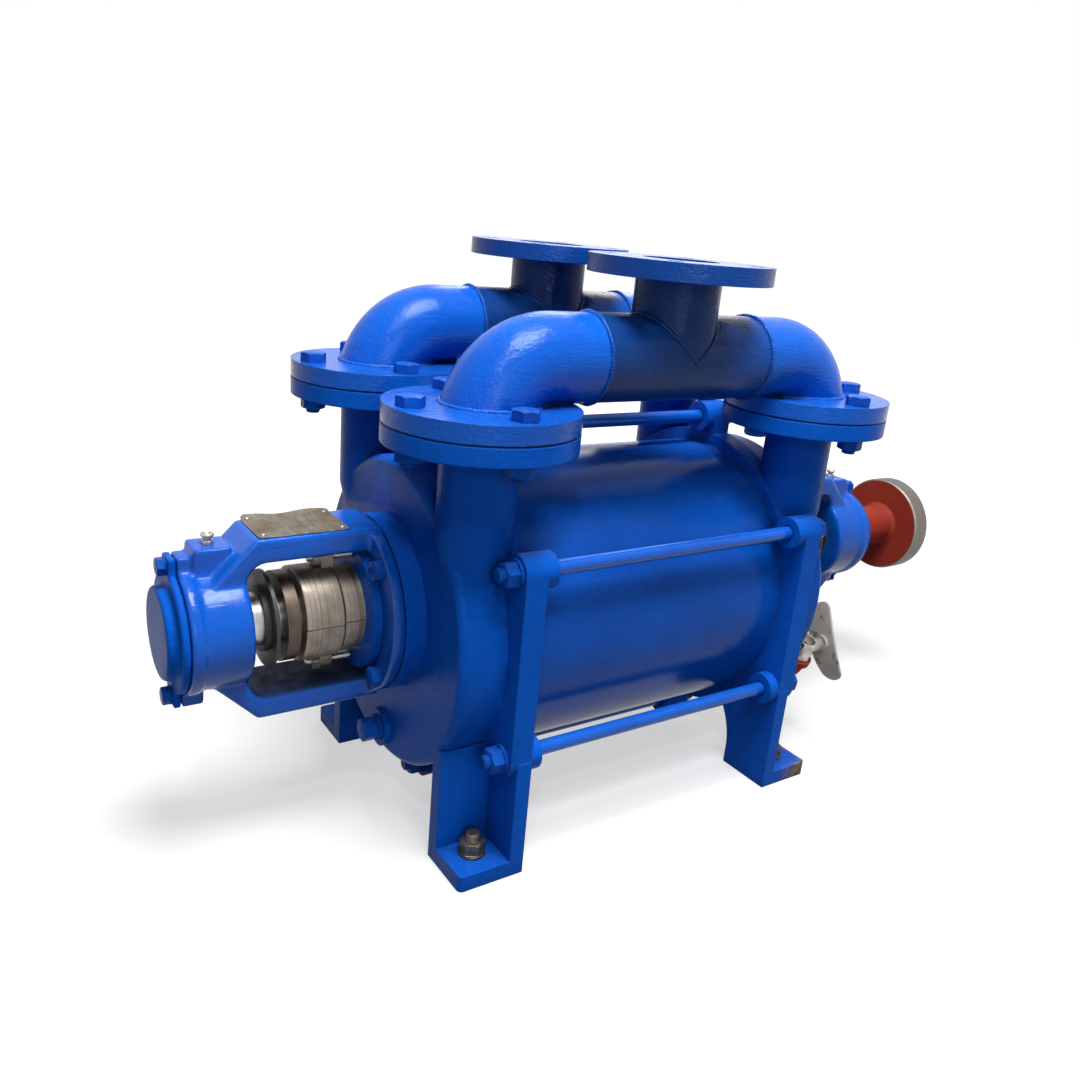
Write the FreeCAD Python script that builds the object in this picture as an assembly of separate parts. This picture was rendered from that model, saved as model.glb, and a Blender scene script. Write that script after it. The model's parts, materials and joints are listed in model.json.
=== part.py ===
import FreeCAD, Part
import math
import os

os.makedirs("parts", exist_ok=True)

# Liquid ring vacuum pump with a welded suction and discharge manifold.
# Millimetres. X runs along the shaft, from the blind end (-X, "nde") to the drive end (+X, "de").
# The suction side faces -Y, the discharge side faces +Y, and Z is up.
# The origin is on the floor, in the middle of the four foot bolts.
# Every end piece is drawn for the drive end and mirrored in the plane X = 0 for the blind end.

# Main lines
shaft_height = 250.0
eccentricity = 15.0
joint_plane = 180.0
casing_height = shaft_height - eccentricity

# Clearances and fits, all radial or on one face
seat_clearance = 0.02
running_clearance = 0.05
free_clearance = 0.5
bolt_clearance = 1.0
plate_clearance = 0.2
end_clearance = 0.4
tip_clearance = 1.5

# Impeller
impeller_radius = 140.0
impeller_hub_radius = 60.0
impeller_web_radius = 116.0
impeller_web_thickness = 8.0
vane_count = 18
vane_thickness = 5.0
vane_root_sink = 2.0
vane_mid_radius = 100.0
vane_mid_lead = 6.0
vane_tip_lead = 21.0

# Casing barrel, gaskets and port plates
barrel_wall = 11.5
gasket_thickness = 0.5
port_plate_thickness = 10.0
port_plate_margin = 4.5
suction_port_inner = 66.0
suction_port_outer = 94.0
suction_port_from = 120.0
suction_port_to = 236.0
discharge_port_outer = 84.0
discharge_port_from = 28.0
discharge_port_to = 66.0
relief_hole_radius = 7.0
relief_hole_circle = 84.0
relief_hole_count = 4
relief_hole_first = 10.0
relief_hole_step = -14.0
flap_thickness = 2.0
flap_overlap = 7.0
flap_end_angle = 11.0

# End covers
rim_margin = 15.0
rim_thickness = 25.0
drum_step = 11.0
drum_length = 76.0
drum_rounding = 9.0
cover_wall = 16.0
chamber_wall = 16.0
chamber_hub_radius = 62.0
partition_thickness = 12.0
bearing_boss_radius = 96.0
bearing_boss_length = 22.0
stuffing_radius = 68.0
stuffing_nose = 22.0

# Tie rods round the casing centre
tie_count = 6
tie_first_angle = 30.0
tie_rod_offset = 19.0
tie_rod_radius = 8.0
tie_boss_radius = 19.0
tie_boss_back = 13.0
tie_boss_front = 0.0
tie_end_length = 6.0
washer_radius = 15.0
washer_thickness = 3.0

# Sixteen millimetre hexagon fasteners
hex_flats = 24.0
hex_head_height = 10.0
hex_nut_height = 13.0
thread_stub = 5.0
bolt_radius = 8.0

# Feet
foot_length = 76.0
foot_inner_y = 125.0
foot_outer_y = 195.0
foot_pad_thickness = 18.0
foot_plate_thickness = 17.0
foot_flare_start = 28.0
foot_flare_width = 32.0
foot_flare_top = 92.0
foot_flare_bow = 7.0
foot_bolt_offset = 44.0
foot_bolt_y = 162.0
foot_hole_radius = 9.0
foot_corner_radius = 6.0

# Cover necks and pipe flanges
port_offset = 42.0
port_y = 120.0
neck_radius = 39.0
neck_bore_radius = 31.0
neck_foot_rise = 73.0
neck_foot_taper = 41.0
neck_foot_radius = 30.0
neck_flare_height = 12.0
neck_flare = 6.0
flange_radius = 95.0
flange_thickness = 18.0
flange_bolt_circle = 150.0
flange_hole_radius = 9.0
flange_bolt_count = 4
flange_screw_depth = 14.0
manifold_gasket_thickness = 2.0
manifold_joint_rise = 235.0

# Manifolds
pipe_radius = 44.45
pipe_bore_radius = 40.0
pipe_rise = 61.0
elbow_radius = 70.0
top_branch_length = 99.0
top_flange_first_angle = 45.0

# Shaft, sleeves and shaft nuts
shaft_core_radius = 30.0
shaft_sleeve_seat_radius = 27.5
shaft_bearing_radius = 22.5
shaft_outer_radius = 21.0
shaft_coupling_radius = 19.0
shaft_chamfer = 1.5
sleeve_radius = 33.0
sleeve_reach = 80.0
collar_radius = 47.0
collar_thickness = 13.0
collar_lip = 3.0
slinger_radius = 50.0
slinger_hub_radius = 34.0
slinger_gap = 9.0
slinger_thickness = 4.0
slinger_hub_length = 9.0
shaft_nut_radius = 31.0
shaft_nut_thickness = 10.0
shaft_nut_notches = 4
shaft_nut_notch_width = 6.0
shaft_nut_notch_depth = 3.0

# Keys
impeller_key_width = 16.0
impeller_key_height = 10.0
impeller_key_half_length = 70.0
coupling_key_width = 10.0
coupling_key_height = 8.0
coupling_key_length = 72.0
coupling_key_inset = 6.0
key_depth_share = 0.6

# Packing box
packing_bore_radius = 45.0
packing_depth = 78.0
packing_ring_width = 11.0
packing_inner_rings = 2
packing_outer_rings = 3
lantern_width = 14.0
lantern_neck = 4.0
gland_nose_radial_gap = 0.3
gland_body_radius = 50.0
gland_gap = 22.0
gland_body_length = 42.0
gland_ear_thickness = 13.0
gland_ear_half_width = 9.0
gland_split_gap = 1.0
gland_rounding = 4.0
gland_chamfer = 1.0
gland_stud_offset = 59.0
gland_stud_radius = 5.0
gland_stud_flats = 17.0
gland_stud_nut_height = 8.0

# Bearing brackets
bracket_flange_radius = 96.0
bracket_flange_thickness = 14.0
bracket_bolt_radius = 6.0
bracket_bolt_flats = 19.0
bracket_bolt_head = 8.0
bracket_bolt_circle_radius = 84.0
bracket_bolt_depth = 18.0
arm_half_width = 35.0
arm_inner_offset = 71.0
arm_outer_offset = 96.0
arm_length = 117.0
arm_window_radius = 22.0
arm_sink = 9.0
housing_offset = 126.0
housing_length = 60.0
housing_radius = 62.0
housing_rim_length = 12.0
housing_rim_radius = 65.0
housing_ear_length = 22.0
ear_offset = 78.0
ear_half_width = 13.0
bearing_inset = 21.5
lug_inset = 10.0
lug_length = 36.0
lug_half_width = 19.0
lug_offset = 86.0

# Bearings
bearing_outer_radius = 50.0
bearing_width = 25.0
ball_race_wall = 5.05
ball_count = 8
ball_shoulder = 5.0
roller_race_wall = 6.85
roller_length = 14.0
roller_count = 12
roller_lip = 2.3
cage_half_band = 2.1
ball_cage_width = 21.0
roller_cage_width = 20.0
seal_inset = 6.0
seal_width = 10.0
seal_radius = 34.0
seal_groove_radius = 30.0

# Bearing caps
cap_flange_radius = 62.0
cap_flange_thickness = 8.0
cap_disc_radius = 47.0
cap_length = 18.0
cap_edge_chamfer = 2.0
cap_cavity_radius = 38.0
cap_wall = 6.0
cap_bolt_offset = 68.0
cap_bolt_radius = 5.0
cap_bolt_flats = 16.0
cap_bolt_head = 7.0
cap_bolt_length = 26.0

# Coupling half
coupling_gap = 17.0
coupling_length = 95.0
coupling_rim_thickness = 29.0
coupling_radius = 70.0
coupling_hub_radius = 29.0
coupling_pin_count = 6
coupling_pin_circle = 100.0
coupling_pin_hole_radius = 9.0
coupling_pin_hole_depth = 22.0
coupling_recess_radius = 32.0
coupling_recess_depth = 3.0
coupling_chamfer = 2.0
coupling_root_radius = 5.0
shaft_end_inset = 2.0
blind_shaft_stub = 4.0

# Grease nipples
nipple_hex_flats = 10.0
nipple_hex_height = 4.0
nipple_stem_radius = 3.0
nipple_height = 11.0
nipple_head_radius = 3.6

# Bottom drain of the blind end and side drain of the drive end
plug_drop = 143.0
drain_boss_radius = 22.0
drain_boss_length = 6.0
drain_hole_radius = 10.0
plug_flats = 24.0
plug_head_length = 16.0
plug_collar_radius = 15.0
plug_collar_length = 4.0
side_drain_y = -116.0
side_drain_drop = 125.0
side_drain_boss_radius = 20.0
nipple_pipe_radius = 10.5
nipple_pipe_wall = 3.0
side_drain_cross_radius = 8.0
elbow_body_radius = 14.0
elbow_collar_radius = 18.0
elbow_collar_length = 8.0
elbow_bend_radius = 15.5
elbow_straight = 9.0
side_outlet_tilt = 21.0
elbow_gap = 6.0
valve_gap = 1.0
valve_length = 28.0
valve_body_radius = 14.0
valve_hex_flats = 26.0
valve_hex_length = 7.0
valve_port_radius = 4.0
valve_ball_radius = 6.5
valve_cavity_radius = 7.0
valve_bonnet_radius = 9.0
valve_bonnet_height = 30.0
valve_stem_radius = 4.0
valve_stem_height = 46.0
valve_nut_flats = 13.0
valve_nut_height = 5.0
handle_base = 36.0
handle_thickness = 3.0
handle_hub_radius = 11.0
handle_hub_length = 4.0
handle_seat = 1.0
handle_half_span = 54.0
handle_half_width = 21.0
handle_end_width = 15.0
handle_end_rounding = 9.0
handle_rise = 13.0
handle_tilt = -25.0

origin = FreeCAD.Vector(0, 0, 0)
x_axis = FreeCAD.Vector(1, 0, 0)
y_axis = FreeCAD.Vector(0, 1, 0)
z_axis = FreeCAD.Vector(0, 0, 1)
hexagon_sides = 6
drive_end = 1
blind_end = -1
end_names = {blind_end: "nde", drive_end: "de"}

# Sizes worked out from the ones above
casing_bore_radius = impeller_radius + eccentricity + tip_clearance
barrel_radius = casing_bore_radius + barrel_wall
rim_radius = barrel_radius + rim_margin
drum_radius = rim_radius - drum_step
tie_circle_radius = rim_radius + tie_rod_offset
port_plate_radius = casing_bore_radius + port_plate_margin
port_plate_inner = joint_plane - port_plate_thickness
impeller_half_length = port_plate_inner - end_clearance
drum_face = joint_plane + drum_length
boss_face = drum_face + bearing_boss_length
stuffing_face = boss_face + stuffing_nose
chamber_radius = drum_radius - chamber_wall
chamber_end = drum_face - cover_wall
bracket_face = boss_face + bracket_flange_thickness
foot_outer_x = joint_plane + foot_length
foot_bolt_x = joint_plane + foot_bolt_offset
port_x = joint_plane + port_offset
packing_start = stuffing_face - packing_depth
gland_body_start = stuffing_face + gland_gap
gland_body_end = gland_body_start + gland_body_length
sleeve_end = bracket_face + sleeve_reach
collar_start = sleeve_end - collar_lip
slinger_start = collar_start + collar_thickness + slinger_gap
arm_shoulder = bracket_face + arm_length
housing_start = bracket_face + housing_offset
housing_end = housing_start + housing_length
housing_rim_start = housing_end - housing_rim_length
housing_ear_start = housing_end - housing_ear_length
lug_start = housing_start + lug_inset
lug_end = lug_start + lug_length
bearing_start = housing_start + bearing_inset
seal_start = housing_start + seal_inset
cap_face = housing_end + cap_length
blind_shaft_end = housing_end + blind_shaft_stub
coupling_hub_start = cap_face + coupling_gap
coupling_face = coupling_hub_start + coupling_length
shaft_end = coupling_face - shaft_end_inset
coupling_key_end = coupling_face - coupling_key_inset
coupling_key_start = coupling_key_end - coupling_key_length
neck_foot_height = casing_height + neck_foot_rise
manifold_joint_height = casing_height + manifold_joint_rise
pipe_height = manifold_joint_height + pipe_rise
top_flange_face = pipe_height + top_branch_length
side_drain_z = casing_height - side_drain_drop
cover_flange_top = manifold_joint_height - manifold_gasket_thickness / 2
cover_flange_bottom = cover_flange_top - flange_thickness
manifold_flange_bottom = manifold_joint_height + manifold_gasket_thickness / 2
manifold_flange_top = manifold_flange_bottom + flange_thickness
flange_screw_end = manifold_flange_bottom + flange_screw_depth
top_flange_bottom = top_flange_face - flange_thickness
elbow_centre_x = port_x - elbow_radius
elbow_centre_z = pipe_height - elbow_radius
bearing_end = bearing_start + bearing_width
bearing_middle = bearing_start + bearing_width / 2
bearing_pitch_radius = (bearing_outer_radius + shaft_bearing_radius) / 2
bearing_section = bearing_outer_radius - shaft_bearing_radius
ball_radius = bearing_section / 2 - ball_race_wall
roller_radius = bearing_section / 2 - roller_race_wall
lantern_start = packing_start + packing_inner_rings * packing_ring_width
outer_packing_start = lantern_start + lantern_width
packing_end = outer_packing_start + packing_outer_rings * packing_ring_width
tie_boss_inner = joint_plane - tie_boss_back
tie_boss_outer = joint_plane + rim_thickness + tie_boss_front
tie_hole_radius = tie_rod_radius + bolt_clearance
tie_washer_end = tie_boss_outer + washer_thickness
tie_nut_end = tie_washer_end + hex_nut_height
coupling_rim_start = coupling_face - coupling_rim_thickness


def point(x, y, z):
    return FreeCAD.Vector(x, y, z)


def rod_x(radius, start, end, y, z):
    return Part.makeCylinder(radius, end - start, point(start, y, z), x_axis)


def rod_z(radius, x, y, start, end):
    return Part.makeCylinder(radius, end - start, point(x, y, start), z_axis)


def ring_x(outer, inner, start, end, y, z):
    return rod_x(outer, start, end, y, z).cut(rod_x(inner, start, end, y, z))


def ring_z(outer, inner, x, y, start, end):
    return rod_z(outer, x, y, start, end).cut(rod_z(inner, x, y, start, end))


def block(x_start, x_end, y_start, y_end, z_start, z_end):
    size = (x_end - x_start, y_end - y_start, z_end - z_start)
    return Part.makeBox(size[0], size[1], size[2], point(x_start, y_start, z_start))


def hexagon(across_flats, height, base, axis):
    """A hexagonal prism that starts at base and grows along axis."""
    side = axis.cross(z_axis if abs(axis.z) < 0.5 else x_axis).normalize()
    other = axis.cross(side)
    radius = across_flats / 2 / math.cos(math.pi / hexagon_sides)
    corners = []
    for index in range(hexagon_sides + 1):
        angle = 2 * math.pi * index / hexagon_sides
        corners.append(base + side * (radius * math.cos(angle)) + other * (radius * math.sin(angle)))
    return Part.Face(Part.makePolygon(corners)).extrude(axis * height)


def fused(shapes):
    return shapes[0].fuse(shapes[1:]).removeSplitter()


def turned_profile(points, y, z):
    """A solid turned about the line through (y, z) along X, from (x, radius) points."""
    corners = [point(x, y, z + radius) for x, radius in points]
    face = Part.Face(Part.makePolygon(corners + [corners[0]]))
    return face.revolve(point(0, y, z), x_axis, 360)


def on_circle(radius, degrees, y, z):
    """The (y, z) of a point on a circle about (y, z), with 0 degrees at +Y and 90 degrees at +Z."""
    angle = math.radians(degrees)
    return y + radius * math.cos(angle), z + radius * math.sin(angle)


def sector(inner, outer, angle_from, angle_to, start, end):
    """A stretch of a ring about the shaft between two angles."""
    corners = [point(start, inner, 0), point(end, inner, 0), point(end, outer, 0), point(start, outer, 0)]
    face = Part.Face(Part.makePolygon(corners + [corners[0]]))
    solid = face.revolve(origin, x_axis, angle_to - angle_from)
    solid.rotate(origin, x_axis, angle_from)
    solid.translate(point(0, 0, shaft_height))
    return solid


def circles_at(solid, x, radius):
    """The round edges of one radius that lie in the plane at x."""
    return [edge for edge in solid.Edges if isinstance(edge.Curve, Part.Circle)
            and abs(edge.Curve.Center.x - x) < seat_clearance
            and abs(edge.Curve.Radius - radius) < seat_clearance]


def at_end(shape, end):
    """The drive end's shape as it is, or its mirror image for the blind end."""
    if end == drive_end:
        return shape
    return shape.mirror(origin, x_axis)


def save(node, shape):
    shape.exportStep("parts/" + node + ".step")


def save_both_ends(name, make):
    for end, prefix in end_names.items():
        save(prefix + "_" + name, at_end(make(), end))


def both_ends(shape):
    return Part.makeCompound([at_end(shape, blind_end), shape])


def tie_places():
    step = 360 / tie_count
    return [on_circle(tie_circle_radius, tie_first_angle + step * index, 0, casing_height)
            for index in range(tie_count)]


def flange_bolt_places(first_angle=0.0):
    places = []
    for index in range(flange_bolt_count):
        angle = math.radians(first_angle + 360 * index / flange_bolt_count)
        places.append((flange_bolt_circle / 2 * math.cos(angle), flange_bolt_circle / 2 * math.sin(angle)))
    return places


# Casing


def casing_barrel():
    end = joint_plane - gasket_thickness
    barrel = ring_x(barrel_radius, casing_bore_radius, -end, end, 0, casing_height)
    for start, stop in ((-end, -port_plate_inner), (port_plate_inner, end)):
        barrel = barrel.cut(rod_x(port_plate_radius + plate_clearance, start, stop, 0, casing_height))
    return barrel


def casing_gasket():
    inner = port_plate_radius + plate_clearance
    return ring_x(barrel_radius, inner, joint_plane - gasket_thickness, joint_plane, 0, casing_height)


def port_plate():
    plate = rod_x(port_plate_radius, port_plate_inner, joint_plane, 0, casing_height)
    cuts = [rod_x(sleeve_radius + free_clearance, port_plate_inner, joint_plane, 0, shaft_height)]
    cuts.append(sector(suction_port_inner, suction_port_outer, suction_port_from, suction_port_to,
                       port_plate_inner, joint_plane))
    cuts.append(sector(suction_port_inner, discharge_port_outer, discharge_port_from, discharge_port_to,
                       port_plate_inner, joint_plane))
    for y, z in relief_places():
        cuts.append(rod_x(relief_hole_radius, port_plate_inner, joint_plane, y, z))
    return plate.cut(cuts)


def relief_places():
    return [on_circle(relief_hole_circle, relief_hole_first + relief_hole_step * index, 0, shaft_height)
            for index in range(relief_hole_count)]


def valve_flap():
    """The flexible flap that closes the relief holes, on the chamber side of the port plate."""
    last = relief_hole_first + relief_hole_step * (relief_hole_count - 1)
    reach = relief_hole_radius + flap_overlap
    return sector(relief_hole_circle - reach, relief_hole_circle + reach, last - flap_end_angle,
                  relief_hole_first + flap_end_angle, joint_plane, joint_plane + flap_thickness)


# End covers


def cover_rim():
    """The rim that the tie rods clamp, with an upright side between the two bosses on each side."""
    end = joint_plane + rim_thickness
    pieces = [rod_x(rim_radius, joint_plane, end, 0, casing_height)]
    for y, z in tie_places():
        pieces.append(rod_x(tie_boss_radius, tie_boss_inner, tie_boss_outer, y, z))
        web = block(joint_plane, end, 0, tie_circle_radius, -tie_boss_radius, tie_boss_radius)
        web.rotate(origin, x_axis, math.degrees(math.atan2(z - casing_height, y)))
        web.translate(point(0, 0, casing_height))
        pieces.append(web)
    boss_rise = tie_circle_radius * math.sin(math.radians(tie_first_angle))
    boss_reach = tie_circle_radius * math.cos(math.radians(tie_first_angle)) + tie_boss_radius
    pieces.append(block(joint_plane, end, -boss_reach, boss_reach,
                        casing_height - boss_rise, casing_height + boss_rise))
    return fused(pieces)


def cover_foot(side):
    """One foot: a pad, a plate across the shaft with a flared inner edge, and a plate along it."""
    pad = block(joint_plane, foot_outer_x, foot_inner_y, foot_outer_y, 0, foot_pad_thickness)
    corner = [edge for edge in pad.Edges if edge.Length == foot_pad_thickness
              and edge.CenterOfMass.x > foot_bolt_x and edge.CenterOfMass.y > foot_bolt_y]
    pad = pad.makeFillet(foot_corner_radius, corner)
    boss_drop = tie_circle_radius * math.sin(math.radians(tie_first_angle))
    top = casing_height - boss_drop
    flare_y = foot_inner_y - foot_flare_width
    bottom_inner = point(joint_plane, foot_inner_y, 0)
    flare_start = point(joint_plane, foot_inner_y, foot_flare_start)
    flare_end = point(joint_plane, flare_y, foot_flare_top)
    bow = (flare_end - flare_start).cross(x_axis).normalize() * foot_flare_bow
    flare_middle = (flare_start + flare_end) / 2 + bow
    top_inner = point(joint_plane, flare_y, top)
    top_outer = point(joint_plane, foot_outer_y, top)
    bottom_outer = point(joint_plane, foot_outer_y, 0)
    edges = [Part.LineSegment(bottom_inner, flare_start).toShape(),
             Part.Arc(flare_start, flare_middle, flare_end).toShape(),
             Part.LineSegment(flare_end, top_inner).toShape(),
             Part.LineSegment(top_inner, top_outer).toShape(),
             Part.LineSegment(top_outer, bottom_outer).toShape(),
             Part.LineSegment(bottom_outer, bottom_inner).toShape()]
    cross_plate = Part.Face(Part.Wire(edges)).extrude(x_axis * foot_plate_thickness)
    long_plate = block(joint_plane, foot_outer_x, foot_inner_y, foot_inner_y + foot_plate_thickness, 0, top)
    foot = fused([pad, cross_plate, long_plate])
    if side < 0:
        return foot.mirror(origin, y_axis)
    return foot


def cover_neck(side):
    """The upright neck of one port, with a tapered foot and a flare under its flange."""
    y = side * port_y
    taper = Part.makeCone(neck_foot_radius, neck_radius, neck_foot_taper,
                          point(port_x, y, neck_foot_height), z_axis)
    column = rod_z(neck_radius, port_x, y, neck_foot_height + neck_foot_taper, cover_flange_bottom)
    flare = Part.makeCone(neck_radius, neck_radius + neck_flare, neck_flare_height,
                          point(port_x, y, cover_flange_bottom - neck_flare_height), z_axis)
    flange = rod_z(flange_radius, port_x, y, cover_flange_bottom, cover_flange_top)
    return fused([taper, column, flare, flange])


def neck_passage(side):
    """The bore of one neck, which narrows with its foot and opens into the chamber below it."""
    y = side * port_y
    turn = neck_foot_height + neck_foot_taper
    foot_bore_radius = neck_foot_radius - (neck_radius - neck_bore_radius)
    upper = rod_z(neck_bore_radius, port_x, y, turn, cover_flange_top)
    narrowing = Part.makeCone(foot_bore_radius, neck_bore_radius, neck_foot_taper,
                              point(port_x, y, neck_foot_height), z_axis)
    lower = rod_z(foot_bore_radius, port_x, y, casing_height, neck_foot_height)
    inside = block(joint_plane, chamber_end, y - foot_bore_radius, y + foot_bore_radius,
                   casing_height, neck_foot_height)
    return upper.fuse([narrowing, lower.common(inside)])


def cover_chambers():
    ring = rod_x(chamber_radius, joint_plane, chamber_end, 0, casing_height)
    ring = ring.cut(rod_x(chamber_hub_radius, joint_plane, chamber_end, 0, shaft_height))
    half = partition_thickness / 2
    return ring.cut(block(joint_plane, chamber_end, -half, half, casing_height - chamber_radius,
                          casing_height + chamber_radius))


def cover_holes():
    cuts = [rod_x(tie_hole_radius, tie_boss_inner, tie_boss_outer, y, z) for y, z in tie_places()]
    for side in (-1, 1):
        cuts.append(neck_passage(side))
        for dx, dy in flange_bolt_places():
            cuts.append(rod_z(flange_hole_radius, port_x + dx, side * port_y + dy,
                              cover_flange_bottom, cover_flange_top))
        cuts.append(rod_z(foot_hole_radius, foot_bolt_x, side * foot_bolt_y, 0, foot_pad_thickness))
    cuts.append(rod_x(sleeve_radius + free_clearance, joint_plane, packing_start, 0, shaft_height))
    cuts.append(rod_x(packing_bore_radius, packing_start, stuffing_face, 0, shaft_height))
    for y, z in bracket_bolt_places():
        cuts.append(rod_x(bracket_bolt_radius + running_clearance, boss_face - bracket_bolt_depth,
                          boss_face, y, z))
    for offset in (-gland_stud_offset, gland_stud_offset):
        cuts.append(rod_x(gland_stud_radius + running_clearance, boss_face, stuffing_face,
                          0, shaft_height + offset))
    return cuts


def bracket_bolt_places():
    return [on_circle(bracket_bolt_circle_radius, 45 + 90 * index, 0, shaft_height) for index in range(4)]


def cover_casting():
    drum = rod_x(drum_radius, joint_plane, drum_face, 0, casing_height)
    drum = drum.makeFillet(drum_rounding, circles_at(drum, drum_face, drum_radius))
    boss = rod_x(bearing_boss_radius, chamber_end, boss_face, 0, shaft_height)
    stuffing = rod_x(stuffing_radius, boss_face, stuffing_face, 0, shaft_height)
    pieces = [drum, cover_rim(), boss, stuffing]
    for side in (-1, 1):
        pieces.append(cover_foot(side))
        pieces.append(cover_neck(side))
    return pieces


def blind_end_cover():
    plug_height = casing_height - plug_drop
    boss = rod_x(drain_boss_radius, chamber_end, drum_face + drain_boss_length, 0, plug_height)
    body = fused(cover_casting() + [boss])
    cuts = cover_holes() + [cover_chambers()]
    body = body.cut(cuts)
    drain = rod_x(drain_hole_radius, chamber_end - cover_wall, drum_face + drain_boss_length, 0, plug_height)
    return body.cut(drain).removeSplitter()


def drive_end_cover():
    boss_end = drum_face + drain_boss_length
    boss = rod_x(side_drain_boss_radius, joint_plane + rim_thickness, boss_end, side_drain_y, side_drain_z)
    body = fused(cover_casting() + [boss])
    body = body.cut(cover_holes() + [cover_chambers()])
    low_end = chamber_end - 2 * drain_hole_radius
    axial = rod_x(drain_hole_radius, low_end, boss_end, side_drain_y, side_drain_z)
    inward = point(0, -side_drain_y, casing_height - side_drain_z).normalize()
    cross = Part.makeCylinder(side_drain_cross_radius, 2 * side_drain_boss_radius,
                              point(low_end + drain_hole_radius, side_drain_y, side_drain_z), inward)
    return body.cut([axial, cross]).removeSplitter()


# Tie rods


def tie_rods():
    end = tie_nut_end + tie_end_length
    return Part.makeCompound([rod_x(tie_rod_radius, -end, end, y, z) for y, z in tie_places()])


def tie_rod_washers():
    inner = tie_rod_radius + running_clearance
    washers = []
    for y, z in tie_places():
        for start, end in ((tie_boss_outer, tie_washer_end), (-tie_washer_end, -tie_boss_outer)):
            washers.append(ring_x(washer_radius, inner, start, end, y, z))
    return Part.makeCompound(washers)


def tie_rod_nuts():
    inner = tie_rod_radius + running_clearance
    nuts = []
    for y, z in tie_places():
        for start in (tie_washer_end, -tie_nut_end):
            nut = hexagon(hex_flats, hex_nut_height, point(start, y, z), x_axis)
            nuts.append(nut.cut(rod_x(inner, start, start + hex_nut_height, y, z)))
    return Part.makeCompound(nuts)


# Manifolds


def bent_pipe(radius):
    """A pipe run of the given radius: a leg and an elbow at each end, and the straight between them."""
    pieces = []
    for end in (blind_end, drive_end):
        circle = Part.Circle(point(end * port_x, 0, elbow_centre_z), z_axis, radius)
        face = Part.Face(Part.Wire(circle.toShape()))
        pieces.append(face.revolve(point(end * elbow_centre_x, 0, elbow_centre_z), y_axis, -90 * end))
        pieces.append(rod_z(radius, end * port_x, 0, elbow_centre_z - radius, elbow_centre_z))
    pieces.append(rod_x(radius, -elbow_centre_x, elbow_centre_x, 0, pipe_height))
    pieces.append(rod_z(radius, 0, 0, pipe_height, top_flange_face))
    run = fused(pieces)
    below = block(-port_x - 2 * radius, port_x + 2 * radius, -2 * radius, 2 * radius,
                  elbow_centre_z - 2 * radius, manifold_flange_bottom)
    return run.cut(below)


def manifold(side):
    pieces = [bent_pipe(pipe_radius)]
    for end in (blind_end, drive_end):
        pieces.append(rod_z(flange_radius, end * port_x, 0, manifold_flange_bottom, manifold_flange_top))
    pieces.append(rod_z(flange_radius, 0, 0, top_flange_bottom, top_flange_face))
    body = fused(pieces).cut(bent_pipe(pipe_bore_radius))
    holes = []
    for x, y in flange_bolt_centres(False):
        holes.append(rod_z(flange_hole_radius, x, y - side * port_y, manifold_flange_bottom, manifold_flange_top))
    for x, y in flange_bolt_centres(True):
        holes.append(rod_z(bolt_radius + running_clearance, x, y - side * port_y,
                           manifold_flange_bottom, flange_screw_end + free_clearance))
    for dx, dy in flange_bolt_places(top_flange_first_angle):
        holes.append(rod_z(flange_hole_radius, dx, dy, top_flange_bottom, top_flange_face))
    body = body.cut(holes)
    body.translate(point(0, side * port_y, 0))
    return body


def manifold_gaskets():
    outer = flange_bolt_circle / 2 - flange_hole_radius
    return Part.makeCompound([
        ring_z(outer, pipe_bore_radius, end * port_x, side * port_y, cover_flange_top, manifold_flange_bottom)
        for end in (blind_end, drive_end) for side in (-1, 1)])


def flange_bolt_centres(under_the_elbow):
    """Places of the joint bolts, either the ones below the pipe run or the ones clear of it."""
    centres = []
    for end in (blind_end, drive_end):
        for side in (-1, 1):
            for dx, dy in flange_bolt_places():
                inboard = end * dx < -flange_radius / 2
                if inboard == under_the_elbow:
                    centres.append((end * port_x + dx, side * port_y + dy))
    return centres


def flange_bolts():
    bolts = []
    bottom = cover_flange_bottom - hex_nut_height - thread_stub
    for x, y in flange_bolt_centres(False):
        shank = rod_z(bolt_radius, x, y, bottom, manifold_flange_top)
        head = hexagon(hex_flats, hex_head_height, point(x, y, manifold_flange_top), z_axis)
        bolts.append(shank.fuse(head))
    return Part.makeCompound(bolts)


def flange_nuts():
    nuts = []
    for x, y in flange_bolt_centres(False):
        base = cover_flange_bottom - hex_nut_height
        nut = hexagon(hex_flats, hex_nut_height, point(x, y, base), z_axis)
        nuts.append(nut.cut(rod_z(bolt_radius + running_clearance, x, y, base, cover_flange_bottom)))
    return Part.makeCompound(nuts)


def flange_screws():
    """The screws below the pipe run, put in from below and screwed into the manifold flange."""
    screws = []
    base = cover_flange_bottom - hex_head_height
    for x, y in flange_bolt_centres(True):
        shank = rod_z(bolt_radius, x, y, cover_flange_bottom, flange_screw_end)
        screws.append(shank.fuse(hexagon(hex_flats, hex_head_height, point(x, y, base), z_axis)))
    return Part.makeCompound(screws)


# Rotor


def vane_wire(start):
    """The closed outline of one forward-curved vane, its two faces a vane thickness apart."""
    stations = ((impeller_hub_radius - vane_root_sink, 0.0), (vane_mid_radius, vane_mid_lead),
                (impeller_radius, vane_tip_lead))
    faces = []
    for sign in (-1, 1):
        face_points = []
        for radius, lead in stations:
            degrees = lead + sign * math.degrees(vane_thickness / 2 / radius)
            y, z = on_circle(radius, degrees, 0, shaft_height)
            face_points.append(point(start, y, z))
        faces.append(face_points)
    back, front = faces
    return Part.Wire([Part.Arc(back[0], back[1], back[2]).toShape(),
                      Part.LineSegment(back[2], front[2]).toShape(),
                      Part.Arc(front[2], front[1], front[0]).toShape(),
                      Part.LineSegment(front[0], back[0]).toShape()])


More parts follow.
